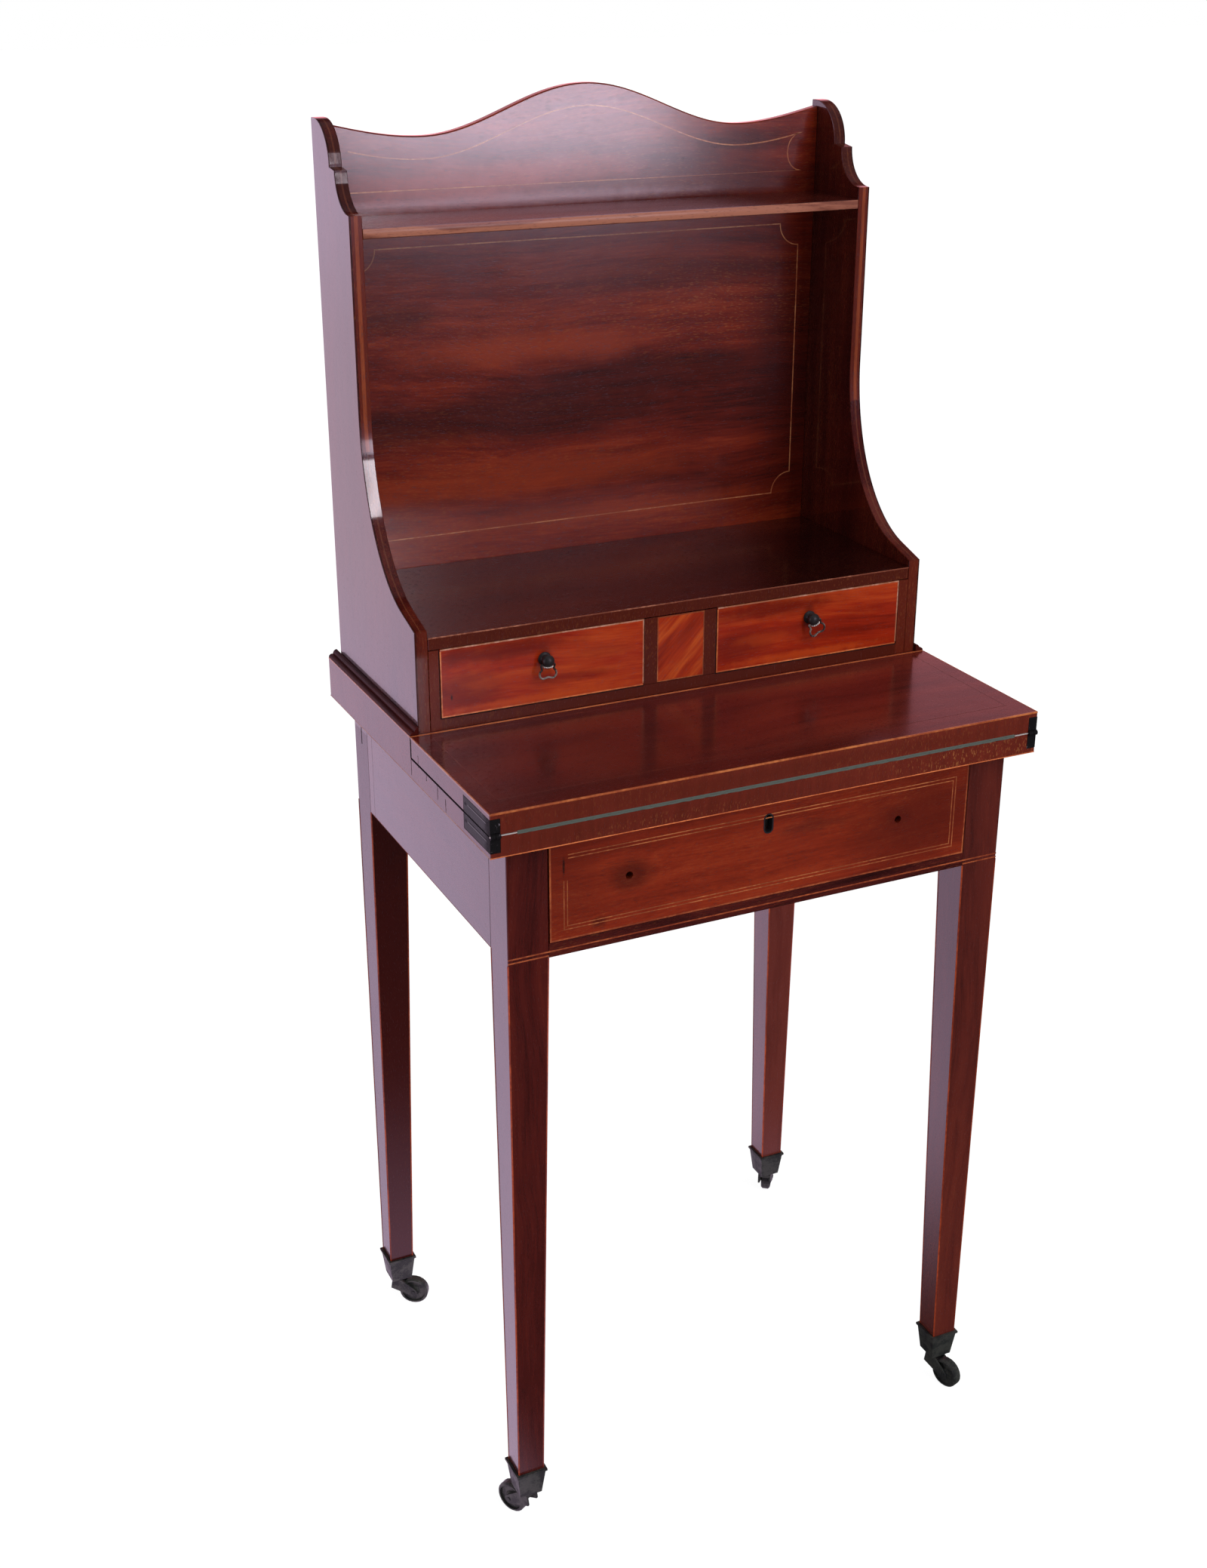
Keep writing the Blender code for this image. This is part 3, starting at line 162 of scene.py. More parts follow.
class Nodes:
    """Adds nodes to one node tree."""

    def __init__(self, tree: bpy.types.NodeTree) -> None:
        """Keep the tree."""
        self.tree = tree

    def node(
        self,
        kind: str,
        settings: dict[str, object] | None = None,
        inputs: dict[str | int, object] | None = None,
        output: str | int = 0,
    ) -> Wire:
        """Add a node.

        Args:
            kind: the node's type.
            settings: its properties, set first. stops are a ramp's (place, colour) pairs.
            inputs: values or links of its sockets.
            output: the socket to return.

        Returns:
            The chosen output.
        """
        made = self.tree.nodes.new(kind)
        for key, value in (settings or {}).items():
            if key == "stops":
                self.set_stops(made.color_ramp, value)
            else:
                setattr(made, key, value)
        for key, value in (inputs or {}).items():
            self.feed(made.inputs[key], value)
        return Wire(self, made.outputs[output])

    @staticmethod
    def set_stops(ramp: bpy.types.ColorRamp, stops: Sequence[tuple[float, Colour]]) -> None:
        """Give a colour ramp its stops."""
        while len(ramp.elements) < len(stops):
            ramp.elements.new(1.0)
        for element, (place, colour) in zip(ramp.elements, stops):
            element.position = place
            element.color = (*colour, 1.0)

    def feed(self, socket: bpy.types.NodeSocket, value: object) -> None:
        """Link a wire to a socket, or set its value."""
        if isinstance(value, Wire):
            self.tree.links.new(value.socket, socket)
        elif socket.type == "RGBA":
            socket.default_value = (*value[:3], 1.0)
        else:
            socket.default_value = value

    def mix(self, share: Wire | float, first: Wire | Colour, second: Wire | Colour) -> Wire:
        """Mix two colours by a share, 0 to 1."""
        return self.node("ShaderNodeMix", {"data_type": "RGBA"}, {0: share, 6: first, 7: second}, 2)

    def choose(self, share: Wire, first: Wire, second: Wire) -> Wire:
        """Mix two vectors by a share."""
        inputs = {0: share, 4: first, 5: second}
        return self.node("ShaderNodeMix", {"data_type": "VECTOR"}, inputs, 1)

    def scaled(self, vector: Wire, size: Point) -> Wire:
        """A vector times another, coordinate by coordinate."""
        return self.node("ShaderNodeVectorMath", {"operation": "MULTIPLY"}, {0: vector, 1: size})

    def moved(self, vector: Wire, by: Wire | Point) -> Wire:
        """A vector plus another."""
        return self.node("ShaderNodeVectorMath", {"operation": "ADD"}, {0: vector, 1: by})

    def turned(self, vector: Wire, centre: Point, angles: Point) -> Wire:
        """A vector taken from a centre and turned by three angles in degrees."""
        inputs = {
            "Vector": self.moved(vector, tuple(-c for c in centre)),
            "Rotation": tuple(math.radians(a) for a in angles),
        }
        return self.node("ShaderNodeMapping", {}, inputs)

    def parts(self, vector: Wire) -> tuple[Wire, Wire, Wire]:
        """The three coordinates of a vector."""
        made = self.tree.nodes.new("ShaderNodeSeparateXYZ")
        self.feed(made.inputs[0], vector)
        return tuple(Wire(self, made.outputs[i]) for i in range(3))

    def cloud(self, vector: Wire, scale: float, detail: float = 2.0, rough: float = 0.5, output: str = "Fac") -> Wire:
        """A noise texture.

        Args:
            vector: where it is read.
            scale: how many features a metre, or a unit of the vector.
            detail: how many finer layers.
            rough: how strong the finer layers are.
            output: Fac for a value, Color for a vector.

        Returns:
            The texture's output.
        """
        inputs = {"Vector": vector, "Scale": scale, "Detail": detail, "Roughness": rough}
        return self.node("ShaderNodeTexNoise", {}, inputs, output)

    def ray(self, kind: str) -> Wire:
        """1 for one kind of ray, 0 for the others."""
        return self.node("ShaderNodeLightPath", output=kind)

    def blend(self, share: Wire | float, first: Wire, second: Wire) -> Wire:
        """Two shaders mixed by a share."""
        return self.node("ShaderNodeMixShader", {}, {0: share, 1: first, 2: second})

    def finish(self, surface: Wire) -> None:
        """Show a shader as the tree's surface."""
        kinds = ("OUTPUT_MATERIAL", "OUTPUT_WORLD")
        out = next(n for n in self.tree.nodes if n.type in kinds)
        self.feed(out.inputs["Surface"], surface)


class Paint(Nodes):
    """One material while its nodes are being built."""

    def __init__(self, name: str, **constants: float | Colour) -> None:
        """Start a Principled material.

        Args:
            name: the material's name.
            constants: values for the shader's own sockets, with _ for a space in their names.
        """
        self.material = bpy.data.materials.new(name)
        self.material.use_nodes = True
        super().__init__(self.material.node_tree)
        self.shader = self.tree.nodes["Principled BSDF"]
        for socket, value in constants.items():
            self.put(socket.replace("_", " "), value)
        self.place = self.node("ShaderNodeTexCoord", output="Object")
        self.facing = self.node("ShaderNodeTexCoord", output="Normal")

    def put(self, name: str, value: object) -> None:
        """Set or link one of the shader's own sockets."""
        self.feed(self.shader.inputs[name], value)

    def noise(self, scale: float, detail: float, rough: float) -> Wire:
        """A noise texture read at the surface's own place."""
        return self.cloud(self.place, scale, detail, rough)

    def blot(self, centre: Point, reach: Point, ragged: float) -> Wire:
        """A soft patch, 1 at its centre and 0 past its reach.

        Args:
            centre: its middle.
            reach: its half sizes.
            ragged: how uneven its edge is.

        Returns:
            The patch's mask.
        """
        away = self.moved(self.place, tuple(-c for c in centre))
        span = self.scaled(away, tuple(1 / r for r in reach))
        length = self.node("ShaderNodeVectorMath", {"operation": "LENGTH"}, {0: span}, "Value")
        wobble = self.noise(0.6 / min(reach), 3.0, 0.6) - 0.5
        return (length + wobble * (2 * ragged)).ease(1.0, 0.25)

    def slab(self, low: Point, high: Point, soft: float, ragged: float = 0.0) -> Wire:
        """A box, 1 inside it and 0 a little outside.

        Args:
            low: its lowest corner.
            high: its highest corner.
            soft: how far it takes to fade out.
            ragged: how far its sides stray.

        Returns:
            The box's mask.
        """
        spot = self.place
        if ragged:
            stray = self.moved(self.cloud(spot, 0.4 / ragged, 2.0, 0.6, "Color"), (-0.5, -0.5, -0.5))
            spot = self.moved(spot, self.scaled(stray, (4 * ragged,) * 3))
        inside = None
        for place, start, end in zip(self.parts(spot), low, high):
            share = place.ease(start - soft, start) * place.ease(end + soft, end)
            inside = share if inside is None else inside * share
        return inside

    def cover(self, colour: Wire, rough: Wire, height: Wire, depth: float) -> bpy.types.Material:
        """Give the surface its varying colour, roughness and relief.

        Args:
            colour: its colour.
            rough: its roughness.
            height: its relief, from 0 to 1.
            depth: how deep the relief is, in metres.

        Returns:
            The finished material.
        """
        self.put("Base Color", colour)
        self.put("Roughness", rough)
        inputs = {"Strength": 1.0, "Distance": depth, "Height": height}
        self.put("Normal", self.node("ShaderNodeBump", {}, inputs))
        return self.material


class Finish:
    """A kind of surface that can be made into a material."""

    def material(self) -> bpy.types.Material:
        """Build the node material.

        Returns:
            The material.
        """
        raise NotImplementedError


@dataclass(frozen=True)
class Blot:
    """A patch of another tone on a piece of wood."""

    centre: Point
    reach: Point
    tone: Colour
    share: float = 0.7
    ragged: float = 0.35
    gritty: bool = False


def patches(origin: Point, *rows: tuple) -> tuple[Blot, ...]:
    """Patches on a face that looks to the front.

    Args:
        origin: the place that the rows count from.
        rows: each patch's place across and up, half width, half height, tone, and its other fields in order.

    Returns:
        The patches.
    """
    x, y, z = origin
    return tuple(Blot((x + u, y, z + v), (wide, 0.05, tall), *rest) for u, v, wide, tall, *rest in rows)


@dataclass(frozen=True)
class Seam:
    """A box in which dirt in a crack or joint, and painted shade in a gap, turn the wood black."""

    low: Point
    high: Point
    soft: float = 0.25 * MM
    share: float = 0.95
    ragged: float = 0.0


@dataclass(frozen=True)
class Band:
    """A box in which the wood has another tone, on a board's edges alone if asked."""

    low: Point
    high: Point
    tone: Colour
    share: float = 0.85
    soft: float = 0.5 * MM
    edges: bool = False
    streaky: float = 0.3
    dull: float = 0.0


@dataclass(frozen=True)
class Mahogany(Finish):
    """Polished mahogany, or its veneer, as one finish."""

    name: str
    deep: Colour
    body: Colour
    fire: Colour
    run: Axis = Axis.X
    clouds: float = 1.0
    cloud_size: Flat = (1.6, 9.0)
    gloss: float = 0.21
    coat: float = 1.0
    coat_rough: float = 0.15
    specular: float = 0.3
    speckle: float = 0.15
    fleck: float = 0.35
    figure: float = 1.1
    banded: bool = False
    edge_tone: Colour = (0.15, 0.026, 0.009)
    edge_share: float = 0.3
    edge_gold: float = 0.4
    edge: Axis = Axis.Z
    edge_rough: float = 0.0
    edge_dull: float = 0.0
    tilt: Point = (0.0, 0.0, 0.0)
    tilt_centre: Point = (0.0, 0.0, 0.0)
    offset: Point = (0.0, 0.0, 0.0)
    blots: tuple[Blot, ...] = ()
    bands: tuple[Band, ...] = ()
    seams: tuple[Seam, ...] = ()

    def stretch(self, along: float, across: float, run: Axis | None = None) -> Point:
        """A scale that draws a texture out along the grain.

        Args:
            along: features a metre along the grain.
            across: features a metre across it.
            run: the grain's axis, or this finish's own.

        Returns:
            The scale of each coordinate.
        """
        run = run or self.run
        return tuple(along if axis is run else across for axis in Axis)

    def material(self) -> bpy.types.Material:
        """Build the node material."""
        paint = Paint(
            self.name,
            Roughness=self.gloss,
            IOR=WOOD_IOR,
            Specular_IOR_Level=self.specular,
            Coat_Weight=self.coat,
            Coat_IOR=POLISH_IOR,
            Coat_Roughness=self.coat_rough,
            Specular_Tint=(1.0, 0.82, 1.0),
        )
        spot = paint.moved(paint.place, self.offset)
        if any(self.tilt):
            spot = paint.turned(spot, self.tilt_centre, self.tilt)
        warp = paint.cloud(spot, 3.1, 2.0, 0.5, "Color")
        spot = paint.moved(spot, paint.scaled(warp, (0.05, 0.05, 0.05)))
        grain = {}
        for name, along, across in GRAIN:
            grain[name] = paint.scaled(spot, self.stretch(along, across))
        if self.banded:
            edge = self.edge_mask(paint)
            for name, along, across in EDGE_GRAIN:
                upright = paint.scaled(spot, self.stretch(along, across, Axis.Z))
                grain[name] = paint.choose(edge, grain[name], upright)
        cloud = paint.cloud(paint.scaled(spot, self.stretch(*self.cloud_size)), 1.0, 3.0, 0.55)
        streak = paint.cloud(grain["streak"], 1.0, 4.0, 0.62)
        hair = paint.cloud(grain["hair"], 1.0, 2.0, 0.6)
        pore = paint.cloud(grain["pore"], 1.0, 1.0, 0.5)
        tone = (cloud - 0.5) * (2.3 * self.clouds) + (streak - 0.5) * self.figure + (hair - 0.5) * 0.5 + 0.5
        stops = ((0.12, self.deep), (0.5, self.body), (0.9, self.fire))
        colour = paint.node("ShaderNodeValToRGB", {"stops": stops}, {0: tone}, "Color")
        gold = pore.ease(0.42, 0.30)
        for blot in self.blots:
            mask = paint.blot(blot.centre, blot.reach, blot.ragged) * blot.share
            colour = paint.mix(mask * gold if blot.gritty else mask, colour, blot.tone)
        coat = self.coat
        for band in self.bands:
            mask = paint.slab(band.low, band.high, band.soft) * band.share
            mask = mask * (1.0 - streak.ease(0.56, 0.42) * band.streaky)
            if band.edges:
                mask = mask * self.edge_mask(paint)
            if band.dull:
                coat = (1.0 - mask * band.dull) * coat
            colour = paint.mix(mask, colour, band.tone)
        flecks = pore.ease(0.60, 0.72)
        colour = paint.mix(flecks * self.fleck, colour, tuple(c * 0.35 for c in self.deep))
        gold = gold * cloud.ease(0.4, 0.62)
        speckle = gold * self.speckle
        if self.banded:
            speckle = speckle + gold * edge * self.edge_gold
        colour = paint.mix(speckle, colour, GOLD_FLECK)
        if self.banded:
            colour = paint.mix(edge * self.edge_share, colour, self.edge_tone)
        smear = paint.noise(14.0, 3.0, 0.6)
        rough = (smear - 0.5) * 0.16 + flecks * 0.10 + self.gloss
        if self.edge_rough:
            rough = rough + self.edge_mask(paint) * self.edge_rough
        if self.edge_dull:
            coat = (1.0 - self.edge_mask(paint) * self.edge_dull) * coat
        # Seams: real dirt in cracks and joints, and painted shade in the gaps between the leaves, along the step and
        # round the drawers.
        if self.seams:
            dirt = self.dirt_and_shade_mask(paint)
            colour = paint.mix(dirt, colour, DIRT_AND_SHADE)
            rough = rough + dirt * 0.8
            coat = (1.0 - dirt) * coat
        paint.put("Coat Weight", coat)
        ripple = paint.noise(150.0, 2.0, 0.5)
        swell = paint.noise(26.0, 2.0, 0.5)
        height = swell * 0.9 + ripple * 0.12 + streak * 0.12 - flecks * 0.1
        return paint.cover(colour, rough, height, 0.22 * MM)

    def edge_mask(self, paint: Paint) -> Wire:
        """1 on a board's edges and 0 on its two broad faces."""
        return abs(paint.parts(paint.facing)[self.edge.value]).ease(0.8, 0.4)

    def dirt_and_shade_mask(self, paint: Paint) -> Wire:
        """1 in the seams and 0 elsewhere."""
        masks = [paint.slab(s.low, s.high, s.soft, s.ragged) * s.share for s in self.seams]
        dirt = masks[0]
        for mask in masks[1:]:
            dirt = dirt.most(mask)
        return dirt


@dataclass(frozen=True)
class Stringing(Finish):
    """Pale boxwood lines, yellowed under the polish and lost here and there. The arris highlight finish uses the same
    build for painted highlights.
    """

    name: str
    pale: Colour
    worn: Colour
    loss: float
    coat: float = 1.0

    def material(self) -> bpy.types.Material:
        """Build the node material."""
        polish = {"Coat_Weight": self.coat, "Coat_IOR": POLISH_IOR, "Coat_Roughness": 0.15}
        paint = Paint(self.name, IOR=WOOD_IOR, Specular_IOR_Level=0.3, **polish)
        broad = paint.noise(22.0, 3.0, 0.6)
        fine = paint.noise(260.0, 2.0, 0.6)
        dirt = (broad * 0.75 + fine * 0.4).ease(0.80 - 0.4 * self.loss, 0.42 - 0.1 * self.loss)
        return paint.cover(paint.mix(dirt, self.worn, self.pale), 0.20 + fine * 0.06, fine, 0.03 * MM)


@dataclass(frozen=True)
class AgedBrass(Finish):
    """Brass gone dark, with brighter metal where it is handled. The glint finish, nearly all bright, is a painted
    glint.
    """

    name: str
    state: Metal = Metal.BLACKENED
    dark: Colour = (0.036, 0.031, 0.037)
    bright: Colour = (0.16, 0.13, 0.12)
    shine: float = 0.55
    rough: float = 0.52

    def material(self) -> bpy.types.Material:
        """Build the node material."""
        paint = Paint(self.name, IOR=1.5)
        broad = paint.noise(90.0, 4.0, 0.65)
        fine = paint.noise(620.0, 3.0, 0.6)
        start = self.state.value
        wear = (broad * 0.7 + fine * 0.3).ease(start, start + 0.16)
        colour = paint.mix(wear, self.dark, self.bright)
        paint.put("Metallic", self.shine + wear * 0.4)
        rough = self.rough - wear * 0.16 + (fine - 0.5) * 0.2
        return paint.cover(colour, rough, fine * 0.6 + broad * 0.4, 0.18 * MM)


@dataclass(frozen=True)
class HingeBrass(Finish):
    """A card-table hinge's plate: grey-violet along its strap, partly its dull metal and partly a painted sheen, with
    a painted highlight line along the strap; black with dirt at its borders and round its corner.
    """

    name: str
    low: Point
    high: Point
    border: float = 0.9 * MM
    # The plate's grey-violet along its strap: partly its dull metal, partly a painted sheen.
    sheen_haze: Colour = (0.060, 0.054, 0.064)
    dark: Colour = (0.007, 0.006, 0.007)
    pale: Colour = (0.42, 0.36, 0.42)

    def material(self) -> bpy.types.Material:
        """Build the node material."""
        paint = Paint(self.name, IOR=1.4, Specular_IOR_Level=0.25)
        _, y, z = paint.parts(paint.place)
        fine = paint.noise(520.0, 3.0, 0.65)
        broad = paint.noise(120.0, 4.0, 0.65)
        low, high, border = self.low, self.high, self.border
        rim = (z - low[2]).least(high[2] - z).least(high[1] - y) + (broad - 0.5) * (1.6 * MM)
        inner = rim.ease(border * 0.6, border * 1.5)
        groove = abs(z - ((low[2] + high[2]) / 2 + 2.4 * MM)).ease(0.9 * MM, 0.4 * MM)
        groove = groove * y.ease(high[1] - 12 * MM, high[1] - 14 * MM)
        # glint: a painted highlight, a pale thin line along the strap's groove on the side faces.
        glint = abs(z - ((low[2] + high[2]) / 2 + 1.3 * MM)).ease(0.6 * MM, 0.2 * MM)
        glint = glint * y.ease(high[1] - 8 * MM, high[1] - 10 * MM) * y.ease(low[1] + 9 * MM, low[1] + 14 * MM)
        front = (y + (broad - 0.5) * (30 * MM)).ease(low[1] + 20 * MM, low[1] + 4 * MM)
        side = abs(paint.parts(paint.facing)[0]).ease(0.4, 0.8)
        clean = side * inner * (1.0 - front) * (1.0 - groove * 0.8)
        colour = paint.mix(clean, self.dark, self.sheen_haze)
        colour = paint.mix(glint * side * 0.6, colour, self.pale)
        chips = (fine * 0.5 + broad * 0.5).ease(0.60, 0.66)
        colour = paint.mix(chips * 0.35, colour, self.pale)
        rough = 0.66 - clean * 0.16 + (fine - 0.5) * 0.3
        return paint.cover(colour, rough, fine * 0.6 + broad * 0.4 + inner * 0.6, 0.25 * MM)


@dataclass(frozen=True)
class PlainWood(Finish):
    """Planed wood without polish, for drawer linings and runners."""

    name: str
    light: Colour
    dark: Colour
    stretch: Point = (110.0, 4.0, 110.0)

    def material(self) -> bpy.types.Material:
        """Build the node material."""
        paint = Paint(self.name, IOR=1.45)
        streak = paint.cloud(paint.scaled(paint.place, self.stretch), 1.0, 5.0, 0.65)
        broad = paint.noise(9.0, 3.0, 0.6)
        fine = paint.cloud(paint.scaled(paint.place, tuple(6 * s for s in self.stretch)), 1.0, 2.0, 0.6)
        share = streak * 0.6 + broad * 0.3 + fine * 0.2
        colour = paint.mix(share.ease(0.35, 0.75), self.light, self.dark)
        return paint.cover(colour, 0.58 + fine * 0.25, fine * 0.6 + streak * 0.4, 0.12 * MM)


@dataclass(frozen=True)
class Baize(Finish):
    """Green wool cloth, faded to grey at its front edge."""

    front: float
    name: str = "green_baize"
    green: Colour = (0.010, 0.023, 0.017)
    grey: Colour = (0.082, 0.102, 0.086)
    rim: Colour = (0.098, 0.113, 0.095)

    def material(self) -> bpy.types.Material:
        """Build the node material."""
        paint = Paint(self.name, Roughness=0.95, Specular_IOR_Level=0.2, Sheen_Weight=0.15, Sheen_Roughness=0.5)
        nap = paint.noise(1400.0, 3.0, 0.7)
        felt = paint.noise(160.0, 4.0, 0.6)
        fade = paint.noise(12.0, 3.0, 0.6)
        rim = paint.parts(paint.place)[1].ease(self.front + MM, self.front)
        share = nap * 0.45 + felt * 0.35 + fade * 0.3 + rim * 0.35
        grey = paint.mix(rim, self.grey, self.rim)
        colour = paint.mix(share.ease(0.35, 0.8), self.green, grey)
        return paint.cover(colour, 0.85 + nap * 0.12, nap * 0.5 + felt * 0.5, 0.4 * MM)


@dataclass(frozen=True)
class Steel(Finish):
    """Dull lock steel."""

    name: str = "dull_steel"
    clean: Colour = (0.28, 0.27, 0.26)
    rust: Colour = (0.10, 0.07, 0.05)

    def material(self) -> bpy.types.Material:
        """Build the node material."""
        paint = Paint(self.name, Metallic=0.9)
        spots = paint.noise(240.0, 4.0, 0.65)
        lines = paint.cloud(paint.scaled(paint.place, (40.0, 900.0, 900.0)), 1.0, 2.0, 0.5)
        colour = paint.mix(spots.ease(0.45, 0.7), self.clean, self.rust)
        return paint.cover(colour, 0.34 + spots * 0.2, lines, 0.05 * MM)


@dataclass(frozen=True)
class Plane:
    """A flat face of the desk, on which lines are laid out in two directions."""

    origin: Point
    across: Point
    up: Point

    @classmethod
    def front(cls, y: float) -> Plane:
        """A face at some depth that looks to the front: x and z."""
        return cls((0.0, y, 0.0), (1.0, 0.0, 0.0), (0.0, 0.0, 1.0))

    @classmethod
    def top(cls, z: float) -> Plane:
        """A level face that looks up: x and y."""
        return cls((0.0, 0.0, z), (1.0, 0.0, 0.0), (0.0, 1.0, 0.0))

    @property
    def out(self) -> Vector:
        """The face's outward normal."""
        return Vector(self.across).cross(Vector(self.up))

    def at(self, u: float, v: float) -> Vector:
        """The place of two coordinates on the face."""
        return Vector(self.origin) + Vector(self.across) * u + Vector(self.up) * v


def arc(centre: Flat, radius: float, start: float, end: float, steps: int) -> list[Flat]:
    """Points along part of a circle.

    Args:
        centre: its centre.
        radius: its radius.
        start: first angle in degrees.
        end: last angle in degrees.
        steps: how many chords.

    Returns:
        The points, ends included.
    """
    angles = [math.radians(start + (end - start) * index / steps) for index in range(steps + 1)]
    return [(centre[0] + radius * math.cos(a), centre[1] + radius * math.sin(a)) for a in angles]


def in_mm(*pairs: Flat) -> list[Flat]:
    """Pairs given in millimetres, in metres."""
    return [(a * MM, b * MM) for a, b in pairs]


def mitred(path: Sequence[Flat], closed: bool, reach: float) -> list[Flat]:
    """A path moved sideways by a distance, with mitred corners.

    Args:
        path: the path's points.
        closed: whether it runs back to its start.
        reach: how far to the left it moves.

    Returns:
        The moved points.
    """
    count = len(path)
    moved = []
    for index, here in enumerate(path):
        before = path[index - 1] if closed or index else here
        after = path[(index + 1) % count] if closed or index < count - 1 else here
        legs = [Vector(b) - Vector(a) for a, b in ((before, here), (here, after)) if a != b]
        sides = [Vector((-leg.y, leg.x)).normalized() for leg in legs]
        aim = (sides[0] + sides[-1]).normalized()
        length = reach / max(0.35, aim.dot(sides[0]))
        moved.append((here[0] + aim.x * length, here[1] + aim.y * length))
    return moved


def extrude_all(bm: Shape, shift: Vector) -> None:
    """Give an open sheet of faces a thickness by extruding it."""
    grown = bmesh.ops.extrude_face_region(bm, geom=bm.faces[:])
    verts = [item for item in grown["geom"] if isinstance(item, bmesh.types.BMVert)]
    bmesh.ops.translate(bm, vec=shift, verts=verts)
    bmesh.ops.recalc_face_normals(bm, faces=bm.faces[:])


@dataclass(frozen=True)
class Line:
    """One inlaid line: its path on a plane and whether it closes on itself."""

    path: tuple[Flat, ...]
    closed: bool = False

    @classmethod
    def frame(cls, low: Flat, high: Flat) -> Line:
        """A closed rectangle."""
        return cls(((low[0], low[1]), (high[0], low[1]), (high[0], high[1]), (low[0], high[1])), True)


def inlay(plane: Plane, lines: Iterable[Line], width: float, proud: float = PROUD, depth: float = 0.4 * MM) -> Shape:
    """Strips let into a face along some lines.

    Args:
        plane: the face.
        lines: the lines' paths on it.
        width: the strips' width.
        proud: how far they stand out of the face.
        depth: how thick they are.

    Returns:
        The strips as closed solids.
    """
    whole = bmesh.new()
    for line in lines:
        bm = bmesh.new()
        near = mitred(line.path, line.closed, width / 2)
        far = mitred(line.path, line.closed, -width / 2)
        verts = [bm.verts.new(plane.at(*p) + plane.out * proud) for p in near]
        ends = verts[1:] + verts[:1] if line.closed else verts[1:]
        edges = [bm.edges.new(pair) for pair in zip(verts, ends)]
        goal = {tuple(round(c, 7) for c in v.co): plane.at(*p) + plane.out * proud for v, p in zip(verts, far)}
        grown = bmesh.ops.extrude_edge_only(bm, edges=edges)
        for item in grown["geom"]:
            if isinstance(item, bmesh.types.BMVert):
                item.co = goal[tuple(round(c, 7) for c in item.co)]
        extrude_all(bm, -plane.out * depth)
        joined(whole, bm)
    return whole


def joined(whole: Shape, *parts: Shape) -> Shape:
    """The first shape, with the others added to it and freed."""
    for part in parts:
        mesh = bpy.data.meshes.new("part")
        part.to_mesh(mesh)
        part.free()
        whole.from_mesh(mesh)
        bpy.data.meshes.remove(mesh)
    return whole


def block(low: Sequence[float], high: Sequence[float]) -> Shape:
    """A block between its lowest and its highest corner."""
    bm = bmesh.new()
    bmesh.ops.create_cube(bm, size=1.0)
    low, high = Vector(low), Vector(high)
    bmesh.ops.scale(bm, vec=high - low, verts=bm.verts)
    bmesh.ops.translate(bm, vec=(low + high) / 2, verts=bm.verts)
    return bm


def soften(bm: Shape, edges: list, width: float, segments: int) -> None:
    """Round some edges."""
    how = {"offset_type": "OFFSET", "affect": "EDGES", "profile": 0.5, "material": -1, "clamp_overlap": True}
    bmesh.ops.bevel(bm, geom=edges, offset=width, segments=segments, **how)


def arris_bar(low: Sequence[float], high: Sequence[float]) -> Shape:
    """A block for a line on an arris, with its edges broken."""
    bm = block(low, high)
    soften(bm, bm.edges[:], 3 * PROUD, 1)
    return bm


def square_bar(start: Sequence[float], end: Sequence[float], size: float) -> Shape:
    """A thin bar between two places, its section a square stood on its corner.

    Args:
        start: where its centre line starts.
        end: where its centre line ends.
        size: from corner to corner.

    Returns:
        The bar.
    """
    bm = bmesh.new()
    start, end = Vector(start), Vector(end)
    run, half = end - start, size / 2
    bmesh.ops.create_cone(bm, cap_ends=True, segments=4, radius1=half, radius2=half, depth=run.length)
    turn = run.to_track_quat("Z", "Y").to_matrix().to_4x4()
    bmesh.ops.transform(bm, matrix=Matrix.Translation((start + end) / 2) @ turn, verts=bm.verts)
    return bm


def lathe(profile: Sequence[Flat], axis: Sequence[float], centre: Sequence[float], steps: int) -> Shape:
    """Spin a (radius, height) profile about an axis.

    Args:
        profile: closed, or starting and ending on the axis.
        axis: the axis's direction.
        centre: where height 0 is on it.
        steps: how many steps a full turn takes.

    Returns:
        The turned shape.
    """
    bm = bmesh.new()
    axis, centre = Vector(axis).normalized(), Vector(centre)
    side = axis.orthogonal().normalized()
    ring = [bm.verts.new(centre + side * radius + axis * along) for radius, along in profile]
    ends = ring[1:] + ring[:1] if profile[0][0] else ring[1:]
    edges = [bm.edges.new((a, b)) for a, b in zip(ring, ends)]
    bmesh.ops.spin(bm, geom=ring + edges, cent=centre, axis=axis, angle=math.tau, steps=steps, use_merge=True)
    bmesh.ops.remove_doubles(bm, verts=bm.verts, dist=WELD)
    bmesh.ops.recalc_face_normals(bm, faces=bm.faces[:])
    return bm


def pulled(outline: Sequence[Sequence[float]], shift: Sequence[float]) -> Shape:
    """A flat outline in space, extruded along a vector."""
    bm = bmesh.new()
    bm.faces.new([bm.verts.new(point) for point in outline])
    extrude_all(bm, Vector(shift))
    return bm


def placed(name: str, data: bpy.types.ID) -> bpy.types.Object:
    """An object made of some data, in the scene."""
    item = bpy.data.objects.new(name, data)
    bpy.context.scene.collection.objects.link(item)
    return item


